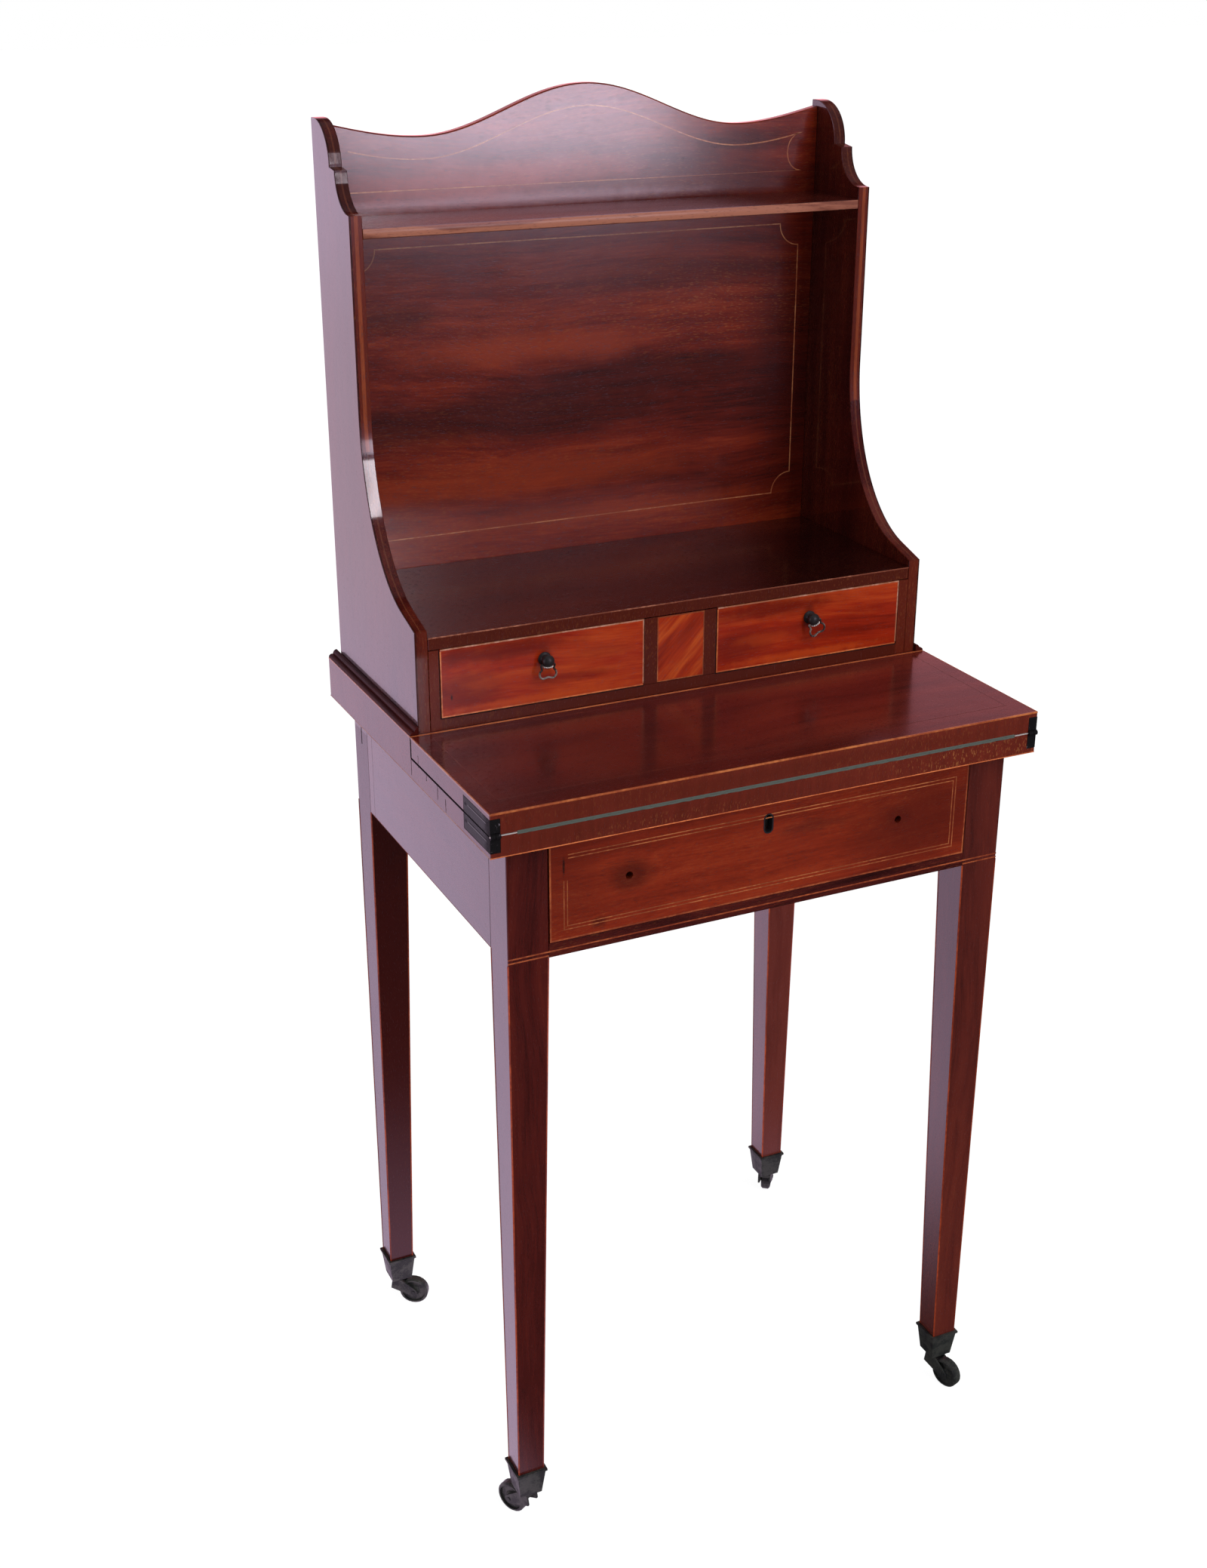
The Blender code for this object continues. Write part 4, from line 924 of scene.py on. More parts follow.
@dataclass
class Workshop:
    """Makes pieces out of meshes and keeps one material for each finish."""

    made: dict[str, bpy.types.Material] = field(default_factory=dict)

    def finish(self, finish: Finish) -> bpy.types.Material:
        """The material of a finish, built once."""
        if finish.name not in self.made:
            self.made[finish.name] = finish.material()
        return self.made[finish.name]

    def piece(
        self,
        name: str,
        bm: Shape,
        finish: Finish,
        body: str = "frame",
        replaced: Sequence[str] = (),
        smooth: float = 35.0,
    ) -> bpy.types.Object:
        """Make a bmesh a piece of the desk.

        Args:
            name: the piece's name.
            bm: its shape, in the frame's coordinates.
            finish: its finish.
            body: the body it moves with.
            replaced: the frame's nodes it stands for.
            smooth: edges sharper than this many degrees stay sharp.

        Returns:
            The object.
        """
        mesh = bpy.data.meshes.new(name)
        bm.to_mesh(mesh)
        bm.free()
        mesh.shade_smooth()
        mesh.set_sharp_from_angle(angle=math.radians(smooth))
        item = placed(name, mesh)
        item.data.materials.append(self.finish(finish))
        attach(item, body)
        if replaced:
            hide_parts(*replaced)
        LOG.info("piece %s on %s, %d faces", name, body, len(mesh.polygons))
        return item

    def dress(self, finish: Finish, *nodes: str) -> None:
        """Give the frame's own nodes a finish."""
        for node in nodes:
            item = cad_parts[node]
            item.data.materials.clear()
            item.data.materials.append(self.finish(finish))
            LOG.info("node %s in %s", node, finish.name)


# Tones of the wood, from the darkest figure to the brightest
CARCASE = ((0.016, 0.0022, 0.0020), (0.065, 0.0070, 0.0052), (0.120, 0.0150, 0.0080))
LEG_TONES = ((0.030, 0.0038, 0.0030), (0.082, 0.0088, 0.0064), (0.135, 0.0160, 0.0085))
WARM_LEG_TONES = ((0.052, 0.0080, 0.0060), (0.115, 0.0165, 0.0105), (0.172, 0.0270, 0.0145))
TOP_TONES = ((0.055, 0.0055, 0.0042), (0.115, 0.0115, 0.0078), (0.170, 0.0200, 0.0110))
PANEL = ((0.035, 0.0038, 0.0028), (0.165, 0.0135, 0.0050), (0.330, 0.0400, 0.0095))
DRAWER = ((0.180, 0.0090, 0.0020), (0.390, 0.0215, 0.0030), (0.600, 0.0720, 0.0100))
FRIEZE = ((0.110, 0.0085, 0.0028), (0.250, 0.0215, 0.0045), (0.370, 0.0460, 0.0095))

LINING = PlainWood("drawer_lining", (0.30, 0.145, 0.062), (0.16, 0.066, 0.028))
RUNNER_WOOD = PlainWood("runner_wood", (0.20, 0.105, 0.055), (0.10, 0.048, 0.026))
STRINGING = Stringing("drawer_line", (0.62, 0.190, 0.060), (0.28, 0.060, 0.020), 0.35)
CASE_LINE = Stringing("case_line", (0.62, 0.230, 0.130), (0.22, 0.055, 0.028), 0.45)
PANEL_LINE = Stringing("panel_line", (0.60, 0.240, 0.100), (0.34, 0.085, 0.034), 0.3)
ORANGE_LINE = Stringing("orange_line", (0.50, 0.120, 0.038), (0.24, 0.040, 0.015), 0.3)
FAINT_STRINGING = Stringing("faint_stringing", (0.24, 0.050, 0.020), (0.11, 0.014, 0.0085), 0.7)
BRIGHT_STRINGING = Stringing("arris_stringing", (0.66, 0.20, 0.055), (0.36, 0.070, 0.020), 0.25)
EDGE_LINE = Stringing("edge_line", (0.90, 0.25, 0.075), (0.52, 0.105, 0.030), 0.2)
LEG_LINE = Stringing("leg_line", (0.56, 0.085, 0.024), (0.26, 0.032, 0.012), 0.25, 0.25)
# A painted highlight: pale pink lines where lit arrises catch the light, on the small drawers' top and right edges
# and under the bed's left edge.
ARRIS_HIGHLIGHT = Stringing("painted_arris_highlight", (0.80, 0.44, 0.32), (0.46, 0.15, 0.075), 0.35)
BLACK_METAL = AgedBrass("blackened_brass")
CASTOR_METAL = AgedBrass("castor_brass", Metal.WORN, (0.020, 0.022, 0.022), (0.085, 0.088, 0.078), 0.1)
KNOP_METAL = AgedBrass("knop_brass", dark=(0.030, 0.025, 0.026), bright=(0.16, 0.13, 0.13), shine=0.2, rough=0.36)
# Worn brass on the bails: its pale, barely metallic patches are partly wear and partly painted glints.
WORN_GLINT_METAL = AgedBrass("worn_and_glinting_brass", Metal.WORN, (0.030, 0.020, 0.018), (0.40, 0.32, 0.28), 0.0, 0.40)
# A painted glint: pale and hardly metallic, for the hinge tongues, the pin ends and the beads, which would catch the
# light.
GLINT_METAL = AgedBrass("painted_glint_brass", Metal.GLINTING, (0.12, 0.09, 0.08), (0.88, 0.80, 0.76), 0.0, 0.34)


@dataclass(frozen=True)
class Lamp:
    """A rectangular soft light."""

    name: str
    place: Point
    target: Point
    size: Flat
    power: float
    tint: Colour
    lean: float = 0.0

    def hang(self) -> None:
        """Put the light in the scene."""
        data = bpy.data.lights.new(self.name, "AREA")
        data.shape = "RECTANGLE"
        data.size, data.size_y = self.size
        data.energy = self.power
        data.color = self.tint
        item = placed(self.name, data)
        item.location = self.place
        aim = Vector(self.target) - Vector(self.place)
        turn = aim.to_track_quat("-Z", "Y").to_matrix() @ Matrix.Rotation(math.radians(self.lean), 3, "Z")
        item.rotation_euler = turn.to_euler()


@dataclass
class Studio:
    """The floor, the lights and the camera."""

    eye: Point = (-0.7944, -1.5367, 1.4102)
    aim: Point = (0.3920, 0.8306, -0.3956)
    lens: float = 44.58
    sensor: float = 36.0
    floor_half: float = 30.0
    paper: Colour = (0.80, 0.80, 0.81)
    veil: float = 0.75
    white: float = 1.24
    far_sheen: Colour = (1.08, 0.82, 1.08)
    sheen: Colour = (0.94, 0.68, 0.85)
    near_sheen: Colour = (0.88, 0.67, 0.91)
    left_sheen: Colour = (1.75, 1.32, 1.72)
    back_sheen: Colour = (1.50, 0.58, 0.68)
    high_sheen: Colour = (1.0, 0.86, 0.92)
    dusk: Colour = (0.020, 0.018, 0.020)
    ambient: float = 0.40
    key: float = 1.8
    key_from: Point = (0.306, -0.642, 0.703)
    lamps: tuple[Lamp, ...] = (
        Lamp("window_light", (1.00, -2.45, 1.09), (0.02, 0.1, 1.09), (0.82, 0.27), 6.9, (1.0, 0.94, 1.11)),
        Lamp("slit_light", (0.635, -2.45, 1.96), (-0.26, 0.05, 0.97), (0.06, 1.30), 4.2, (1.0, 0.90, 0.97), -6.0),
    )

    def floor(self) -> None:
        """A pale floor that the camera sees almost white, with the desk's faint shadow."""
        bm = bmesh.new()
        bmesh.ops.create_grid(bm, x_segments=1, y_segments=1, size=self.floor_half)
        mesh = bpy.data.meshes.new("floor")
        bm.to_mesh(mesh)
        bm.free()
        item = placed("floor", mesh)
        item.data.materials.append(self.floor_material())

    def floor_material(self) -> bpy.types.Material:
        """Pale paper: white to the camera, and in reflections bright behind the desk and dark in front.

        Returns:
            The material.
        """
        paint = Paint("studio_floor", Base_Color=self.paper, Roughness=0.9)
        x, y, _ = paint.parts(paint.place)
        behind = (y * 0.9 - x * 0.55).ease(-0.25, 0.30).most(x.ease(-0.17, -0.27) * y.ease(-0.6, -0.2))
        lit = Wire(paint, paint.shader.outputs[0])
        white = self.glow(paint, (self.white,) * 3)
        near = paint.blend(y.ease(1.6, 3.3), self.glow(paint, self.near_sheen), self.glow(paint, self.sheen))
        bright = paint.blend(y.ease(3.5, 11.0), near, self.glow(paint, self.far_sheen))
        mirrored = paint.blend(behind, self.glow(paint, self.dusk), bright)
        seen = paint.blend(self.veil, lit, white)
        result = paint.blend(paint.ray("Is Camera Ray"), lit, seen)
        mirror = paint.ray("Is Glossy Ray").most(paint.ray("Is Transmission Ray"))
        paint.finish(paint.blend(mirror, result, mirrored))
        return paint.material

    @staticmethod
    def glow(nodes: Nodes, colour: Colour, kind: str = "ShaderNodeEmission", strength: Wire | float = 1.0) -> Wire:
        """A shader that gives off a colour."""
        return nodes.node(kind, {}, {"Color": colour, "Strength": strength})

    def world(self) -> None:
        """Soft light from all round, most of it from above in front. Reflections find it bright low behind."""
        world = bpy.data.worlds.new("studio")
        bpy.context.scene.world = world
        world.use_nodes = True
        nodes = Nodes(world.node_tree)
        kind = "ShaderNodeBackground"
        x, y, z = nodes.parts(nodes.node("ShaderNodeTexCoord", output="Generated"))
        low_behind = (y - x * 0.55).ease(-0.35, 0.45) * z.ease(0.55, 0.02)
        right, front, up = self.key_from
        lobe = (x * right + y * front + z * up).ease(0.82, 0.97)
        even = self.glow(nodes, (0.98, 0.985, 1.0), kind, lobe * self.key + self.ambient)
        level = low_behind * 0.98 + 0.02
        sheens = (self.glow(nodes, colour, kind, level) for colour in (self.left_sheen, self.back_sheen))
        behind = nodes.blend(x.ease(-0.1, 0.3), *sheens)
        glossy = nodes.blend(z.ease(0.60, 0.85), behind, self.glow(nodes, self.high_sheen, kind, 0.12))
        mirror = nodes.ray("Is Glossy Ray").most(nodes.ray("Is Transmission Ray"))
        result = nodes.blend(mirror, even, glossy)
        nodes.finish(nodes.blend(nodes.ray("Is Camera Ray"), result, self.glow(nodes, (1.0, 1.0, 1.0), kind)))

    def camera(self) -> None:
        """The photograph's camera."""
        data = bpy.data.cameras.new("camera")
        data.lens = self.lens
        data.sensor_width = self.sensor
        data.sensor_fit = "AUTO"
        data.clip_start = 0.05
        item = placed("camera", data)
        item.location = self.eye
        item.rotation_euler = Vector(self.aim).to_track_quat("-Z", "Y").to_euler()
        bpy.context.scene.camera = item

    def build(self) -> None:
        """Set up everything that isn't the desk."""
        bpy.context.scene.view_settings.view_transform = "Standard"
        self.floor()
        self.world()
        for lamp in self.lamps:
            lamp.hang()
        self.camera()


@dataclass
class FoldingTop:
    """The stepped top, the flap, their cloth, hinges and lines."""

    border: Flat = (17 * MM, 26 * MM)
    line: float = 1.1 * MM
    arris: float = 1.7 * MM
    plate: float = 15.5 * MM

    def __post_init__(self) -> None:
        """Read the places of both leaves and of the joint between them."""
        self.low, self.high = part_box("flap")
        self.bed_low, self.bed_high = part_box("table_top")
        self.joint = self.low.z - 0.5 * MM

    def boards(self, shop: Workshop) -> None:
        """Finish the two leaves."""
        front, crown, joint = self.low.y, self.high.z, self.joint
        under, level = self.bed_low.z, self.bed_high.z
        step, half = self.high.y + 0.5 * MM, 1.1 * MM
        outside, cheek = self.bed_high.x + MM, self.high.x - 2 * MM
        # Painted shade in the joint gap between the leaves and along the step.
        leaf_gaps = (
            Seam((x, front + 2 * MM, joint - MM), (x + outside - cheek, step, joint + MM), ragged=0.2 * MM)
            for x in (-outside, cheek)
        )
        top = Mahogany(
            "top_mahogany", *TOP_TONES, clouds=0.7, cloud_size=(1.3, 11.0), coat=0.7, speckle=0.05, banded=True,
            edge_tone=(0.20, 0.030, 0.011), edge_share=0.4, edge_gold=0.3,
            blots=(
                Blot((-0.17, front + 0.09, crown), (0.22, 0.16, 0.02), (0.046, 0.0040, 0.0032), 0.65, 0.3),
                Blot((0.20, front, under + 9 * MM), (0.11, 0.02, 0.016), (0.42, 0.17, 0.05), 0.75, 0.4, True),
                Blot((-0.10, front, under + 6 * MM), (0.16, 0.02, 0.008), (0.36, 0.13, 0.04), 0.45, 0.5, True),
                Blot((0.0, front, crown - 11 * MM), (0.30, 0.004, 0.009), (0.060, 0.0060, 0.0045), 0.55, 0.3),
            ),
            seams=(
                *leaf_gaps,
                Seam((-outside, step - half, crown - 1.2 * MM), (outside, step + half, level + MM), ragged=0.3 * MM),
                Seam((cheek, step - half, joint), (outside, step + half, level), ragged=0.3 * MM),
                Seam((-outside, step - MM, under + 4 * MM), (-cheek, step, level), 0.3 * MM, 1.0, 0.3 * MM),
                Seam((-outside, step - 2 * MM, joint), (-cheek, step + 0.6 * MM, level), 0.4 * MM, 1.0, 0.3 * MM),
                *self.cracks(-outside, -cheek, step),
            ),
        )
        shop.dress(top, "table_top", "flap")

    @staticmethod
    def cracks(outside: float, inside: float, step: float) -> list[Seam]:
        """Short upright cracks in the left edges of both leaves.

        Args:
            outside: where they start across.
            inside: where they end across.
            step: where the upper leaf ends, from which they are counted to the front.

        Returns:
            The cracks.
        """
        places = ((0.019, 0.7480, 0.7590), (0.039, 0.7430, 0.7490), (0.066, 0.7360, 0.7490), (0.085, 0.7320, 0.7440))
        half = 0.45 * MM
        return [
            Seam((outside, step - y - half, low), (inside, step - y + half, high), 0.4 * MM, 0.8, 0.8 * MM)
            for y, low, high in places
        ]

    def lines(self, shop: Workshop) -> None:
        """Lay the pale lines on the arrises, the thin one inside the flap's edge and a painted highlight under the
        bed's left edge.
        """
        low, high, bed_low, bed_high = self.low, self.high, self.bed_low, self.bed_high
        side, inner = self.border
        thin = Line.frame((low.x + side, low.y + inner), (high.x - side, high.y - side * 0.55))
        shop.piece("flap_stringing", inlay(Plane.top(high.z), [thin], self.line), FAINT_STRINGING, "flap")
        size = self.arris
        deep, crown, narrow = high.z - size, high.z + PROUD, size * 0.8
        bars = joined(
            arris_bar((low.x, low.y - PROUD, deep), (high.x, low.y + size, crown)),
            arris_bar((low.x - PROUD, low.y, deep), (low.x + narrow, high.y, crown)),
            arris_bar((high.x - narrow, low.y, deep), (high.x + PROUD, high.y, crown)),
        )
        shop.piece("flap_arris_line", bars, BRIGHT_STRINGING, "flap")
        size, step = self.arris * 0.75, high.y + MM
        deep, crown = bed_high.z - size, bed_high.z + PROUD
        bars = joined(
            arris_bar(bed_low - Vector((0, PROUD, PROUD)), (bed_high.x, bed_low.y + size, bed_low.z + size)),
            arris_bar((bed_low.x, step - PROUD, deep), (bed_high.x, step + size, crown)),
            arris_bar((bed_low.x - PROUD, step, deep), (bed_low.x + size, bed_high.y, crown)),
            arris_bar((bed_high.x - size, step, deep), (bed_high.x + PROUD, bed_high.y, crown)),
        )
        shop.piece("bed_arris_line", bars, EDGE_LINE)
        # A painted highlight along the bed's lower left arris.
        x, z = bed_low.x + 0.3 * MM, bed_low.z + 0.3 * MM
        shop.piece("bed_side_highlight", square_bar((x, bed_low.y, z), (x, bed_high.y, z), 1.5 * MM), ARRIS_HIGHLIGHT)

    def linings(self, shop: Workshop) -> None:
        """Lay the cloth in both leaves, its front edge a little uneven."""
        cloth = Baize(self.low.y)
        sink, gap = 0.15 * MM, 0.06 * MM
        for name, node, body, carrier in (
            ("bed_cloth", "bed_baize", "frame", "table_top"),
            ("flap_cloth", "flap_baize", "flap", "flap"),
        ):
            low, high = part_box(node)
            upper = body == "flap"
            bottom, crown = (self.joint + gap, high.z + sink) if upper else (low.z - sink, self.joint - gap)
            bm = block((low.x, low.y - 0.9 * MM, bottom), (high.x, high.y, crown))
            long_edges = [e for e in bm.edges if abs(e.verts[0].co.x - e.verts[1].co.x) > MM]
            bmesh.ops.subdivide_edges(bm, edges=long_edges, cuts=240, use_grid_fill=True)
            for vert in bm.verts:
                if vert.co.y < low.y:
                    spot = Vector((vert.co.x * 260, bottom * 900, 0.0))
                    vert.co.y += 0.45 * MM * noise.noise(spot)
                    if (vert.co.z > (bottom + crown) / 2) is upper:
                        swell = 0.30 * MM * (0.5 + noise.noise(spot * 0.6))
                        vert.co.z += swell if upper else -swell
            item = shop.piece(name, bm, cloth, body, (node,))

    def hinges(self, shop: Workshop) -> None:
        """Finish the plates, drive their screws and lay the tongues with the pin's ends, pale as painted glints."""
        joint, front = self.joint, self.low.y
        for side, sign in (("left", -1), ("right", 1)):
            for leaf, body, bottom in (("bed", "frame", joint - self.plate), ("flap", "flap", joint)):
                node = f"{side}_hinge_{leaf}_plate"
                low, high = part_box(node)
                face, crown = low.x if sign < 0 else high.x, bottom + self.plate
                shop.dress(HingeBrass(f"{leaf}_hinge_brass", (low.x, low.y, bottom), (high.x, high.y, crown)), node)
                middle = (bottom + crown) / 2 + MM
                head = self.screw((face, high.y - 4.5 * MM, middle), (sign, 0, 0), 2.3 * MM, 35 + middle * 100)
                shop.piece(f"{side}_hinge_{leaf}_screw", head, BLACK_METAL, body)
            inner = min(abs(corner.x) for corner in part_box(f"{side}_hinge_bed_plate"))
            start, end = sorted((sign * inner, sign * (abs(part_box("bed_baize")[0].x) + 0.4 * MM)))
            thick = 0.42 * MM
            tongue = block((start, front - 0.35 * MM, joint - thick), (end, front + 6 * MM, joint + thick))
            knuckle = in_mm((0, -1.2), (1.0, -1.2), (1.0, -0.1), (0.7, 0.2), (0, 0.2))
            pin = lathe(knuckle, (sign, 0, 0), (face, front - 0.2 * MM, joint), 16)
            # Tongue and pin ends are pale as painted glints.
            shop.piece(f"{side}_hinge_tongue", joined(tongue, pin), GLINT_METAL, "frame")

    @staticmethod
    def screw(place: Point, out: Point, radius: float, turn: float) -> Shape:
        """A countersunk slotted screw head.

        Args:
            place: the middle of its face.
            out: which way it faces.
            radius: its radius.
            turn: the slot's angle in degrees.

        Returns:
            The head.
        """
        crown, half = radius * 0.16, radius * 0.14
        profile = ((0, -radius * 0.5), (radius * 0.6, -radius * 0.5), (radius, 0), (radius * 0.6, crown), (0, crown))
        head = lathe(profile, out, place, 20)
        middle, aim = Vector(place), Vector(out)
        across = aim.cross(Matrix.Rotation(math.radians(turn), 3, aim) @ aim.orthogonal().normalized())
        for shift in (-half, half):
            shape = head.verts[:] + head.edges[:] + head.faces[:]
            bmesh.ops.bisect_plane(head, geom=shape, plane_co=middle + across * shift, plane_no=across)
        crowns = (f for f in head.faces if f.normal.dot(aim) > 0.5)
        slot = [f for f in crowns if abs((f.calc_center_median() - middle).dot(across)) < half]
        bmesh.ops.translate(head, vec=-aim * radius * 0.35, verts=list({v for f in slot for v in f.verts}))
        return head

    def build(self, shop: Workshop) -> None:
        """Dress the top."""
        self.boards(shop)
        self.lines(shop)
        self.linings(shop)
        self.hinges(shop)


@dataclass
class LegsAndFrieze:
    """The legs, the rails and the runners with their lines."""

    arris: float = 1.9 * MM
    band: float = 1.3 * MM
    foot_top: float = 65.5 * MM
    foot: float = 25.7 * MM
    leg: float = 38 * MM

    def woods(self, shop: Workshop) -> None:
        """Finish legs, rails and runners. Each band is for one of the back legs."""
        bands = (
            Band((-0.252, 0.155, 0.0), (-0.205, 0.2, 0.70), (0.065, 0.0075, 0.0055), 1.0, MM, False, 0.0, 0.42),
            Band((0.205, 0.155, 0.0), (0.252, 0.2, 0.70), (0.190, 0.0360, 0.0260), 0.8, MM),
        )
        crack = Seam((-0.251, 0.1764, 0.686), (-0.249, 0.1784, 0.720), 0.3 * MM, 1.0, 0.3 * MM)
        for side, tones in (("left", LEG_TONES), ("right", WARM_LEG_TONES)):
            leg = Mahogany(
                f"{side}_leg_mahogany", *tones, run=Axis.Z, clouds=0.5, figure=0.7, speckle=0.04, fleck=0.1,
                cloud_size=(1.5, 22.0), bands=bands, seams=(crack,),
            )
            shop.dress(leg, f"front_{side}_leg", f"back_{side}_leg")
        x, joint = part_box("left_rail")[0].x, 147 * MM
        dents = ((0.0109, 0.7244), (0.0082, 0.7217), (-0.0061, 0.7235), (-0.0127, 0.7209), (0.060, 0.700))
        dent = ((3 * MM, 1.1 * MM, 1.6 * MM), (0.006, 0.003, 0.003), 0.95, 0.2)
        side = Mahogany(
            "rail_mahogany", *CARCASE, run=Axis.Y, clouds=0.8, fleck=0.15,
            blots=tuple(Blot((x, y, z), *dent) for y, z in dents),
            bands=(Band((x - MM, joint, 0.5), (x + MM, 0.17, 0.8), (0.140, 0.030, 0.020), 0.7, 0.3 * MM),),
            seams=(Seam((x - MM, joint - 0.3 * MM, 0.5), (x + MM, joint + 0.2 * MM, 0.8), 0.2 * MM, 0.6),),
        )
        shop.dress(side, "left_rail", "right_rail")
        shop.dress(Mahogany("cross_rail_mahogany", *CARCASE, clouds=0.8), "back_rail", "front_rail")
        shop.dress(RUNNER_WOOD, "left_drawer_runner", "right_drawer_runner")

    def leg_lines(self, shop: Workshop) -> None:
        """Run a thin line down the arrises of each leg and along the side rail."""
        bars = []
        top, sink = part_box("front_rail")[0].z, 0.42 * MM
        for corner in CORNERS:
            low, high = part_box(f"{corner}_leg")
            foot_x = (low.x, low.x + self.foot) if corner.endswith("left") else (high.x - self.foot, high.x)
            foot_y = (low.y, low.y + self.foot) if corner.startswith("front") else (high.y - self.foot, high.y)
            for i, j in ((0, 0), (1, 0), (0, 1)):
                dx, dy = (sink, -sink)[i], (sink, -sink)[j]
                start = ((low.x, high.x)[i] + dx, (low.y, high.y)[j] + dy, top)
                bars.append(square_bar(start, (foot_x[i] + dx, foot_y[j] + dy, self.foot_top), self.arris))
        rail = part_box("left_rail")[0]
        x, z = rail.x + 0.3 * MM, rail.z + 0.3 * MM
        start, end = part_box("front_left_leg")[1].y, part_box("back_left_leg")[0].y
        bars.append(square_bar((x, start, z), (x, end, z), 1.2 * MM))
        shop.piece("leg_arris_lines", joined(bmesh.new(), *bars), LEG_LINE)

    def frieze_band(self, shop: Workshop) -> None:
        """Lay the line along the bottom of the frieze and over the front legs."""
        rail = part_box("front_rail")[0]
        left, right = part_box("front_left_leg")[0].x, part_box("front_right_leg")[1].x
        upper, lower = rail.z + 5.6 * MM, rail.z + 1.9 * MM
        spans = ((left, right, upper), (left, left + self.leg, lower), (right - self.leg, right, lower))
        lines = [Line(((start, z), (end, z))) for start, end, z in spans]
        shop.piece("frieze_lines", inlay(Plane.front(rail.y), lines, self.band), ORANGE_LINE)

    def build(self, shop: Workshop) -> None:
        """Dress the legs and the frieze."""
        self.woods(shop)
        self.leg_lines(shop)
        self.frieze_band(shop)


@dataclass
class FriezeDrawer:
    """The long drawer, its double line, its keyhole and its lock."""

    inset: float = 13.3 * MM
    rise: float = 9.7 * MM
    drop: float = 17.7 * MM
    line: float = 0.9 * MM
    gap: float = 3.2 * MM
    edge: float = 1.5 * MM
    keyhole: Flat = (8.6 * MM, 18 * MM)
    keyhole_drop: float = 26.5 * MM

    def __post_init__(self) -> None:
        """Read the place of the front."""
        self.low, self.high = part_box("frieze_drawer_front")
        self.plane = Plane.front(self.low.y)

    def boards(self, shop: Workshop) -> None:
        """Finish front, linings and lock."""
        half = (self.high.z - self.low.z) / 2
        dark = (0.035, 0.006, 0.004)
        blots = patches(
            (0.0, self.low.y, self.low.z + half),
            (-0.136, 0.0, 0.030, 0.022, (0.085, 0.0085, 0.003), 0.75),
            (0.136, 0.002, 0.022, 0.016, (0.080, 0.0080, 0.004), 0.6),
            (0.17, 0.0, 0.11, 0.07, (0.100, 0.0085, 0.0035), 0.75, 0.4),
            (-0.20, 0.0, 0.06, 0.07, (0.130, 0.0115, 0.0040), 0.5, 0.4),
            (0.0, 0.012 - half, 0.13, 0.012, (0.340, 0.0360, 0.0070), 0.5, 0.5),
            (-0.05, half - 0.016, 0.08, 0.008, (0.330, 0.0330, 0.0070), 0.5, 0.5),
            (-0.1975, half - 0.028, 0.0016, 0.012, dark, 0.95, 0.15),
            (-0.165, 0.010 - half, 0.012, 0.007, dark, 0.6),
            (0.05, 0.012, 0.05, 0.010, (0.090, 0.011, 0.006), 0.5),
        )
        front = Mahogany("frieze_drawer_mahogany", *FRIEZE, clouds=0.6, figure=0.7, speckle=0.14, blots=blots)
        shop.dress(front, "frieze_drawer_front")
        shop.dress(LINING, *(f"frieze_drawer_{part}" for part in DRAWER_PARTS))
        shop.dress(Steel(), "drawer_lock_case", "drawer_lock_bolt")

    def lines(self, shop: Workshop) -> None:
        """Lay the double line and the line round the front's edge."""
        low, high, e = self.low, self.high, self.edge / 2
        a, b = low.x + self.inset, high.x - self.inset
        c, d = low.z + self.rise, high.z - self.drop
        pair = [
            Line(((a + g, d - 0.024), (a + g, c + g), (b - g, c + g), (b - g, d - g), (a + 0.004, d - g)))
            for g in (0.0, self.gap)
        ]
        rim = Line.frame((low.x + e, low.z + e), (high.x - e, high.z - e))
        for name, strips, finish in (
            ("drawer_stringing", inlay(self.plane, pair, self.line), STRINGING),
            ("drawer_edge_line", inlay(self.plane, [rim], self.edge, depth=0.8 * MM), ORANGE_LINE),
        ):
            shop.piece(name, strips, finish, "frieze_drawer")

    def keyhole_lining(self, shop: Workshop) -> None:
        """A thin worn brass lining in the keyhole."""
        width, height = self.keyhole
        centre, radius, straight = self.high.z - self.keyhole_drop, width / 2, (height - width) / 2
        path = arc((0, centre + straight), radius, 0, 180, 12) + arc((0, centre - straight), radius, 180, 360, 12)
        rim = inlay(self.plane, [Line(tuple(path), True)], 1.3 * MM, 0.2 * MM, 7 * MM)
        shop.piece("keyhole_lining", rim, BLACK_METAL, "frieze_drawer")

    def build(self, shop: Workshop) -> None:
        """Dress the drawer."""
        self.boards(shop)
        self.lines(shop)
        self.keyhole_lining(shop)


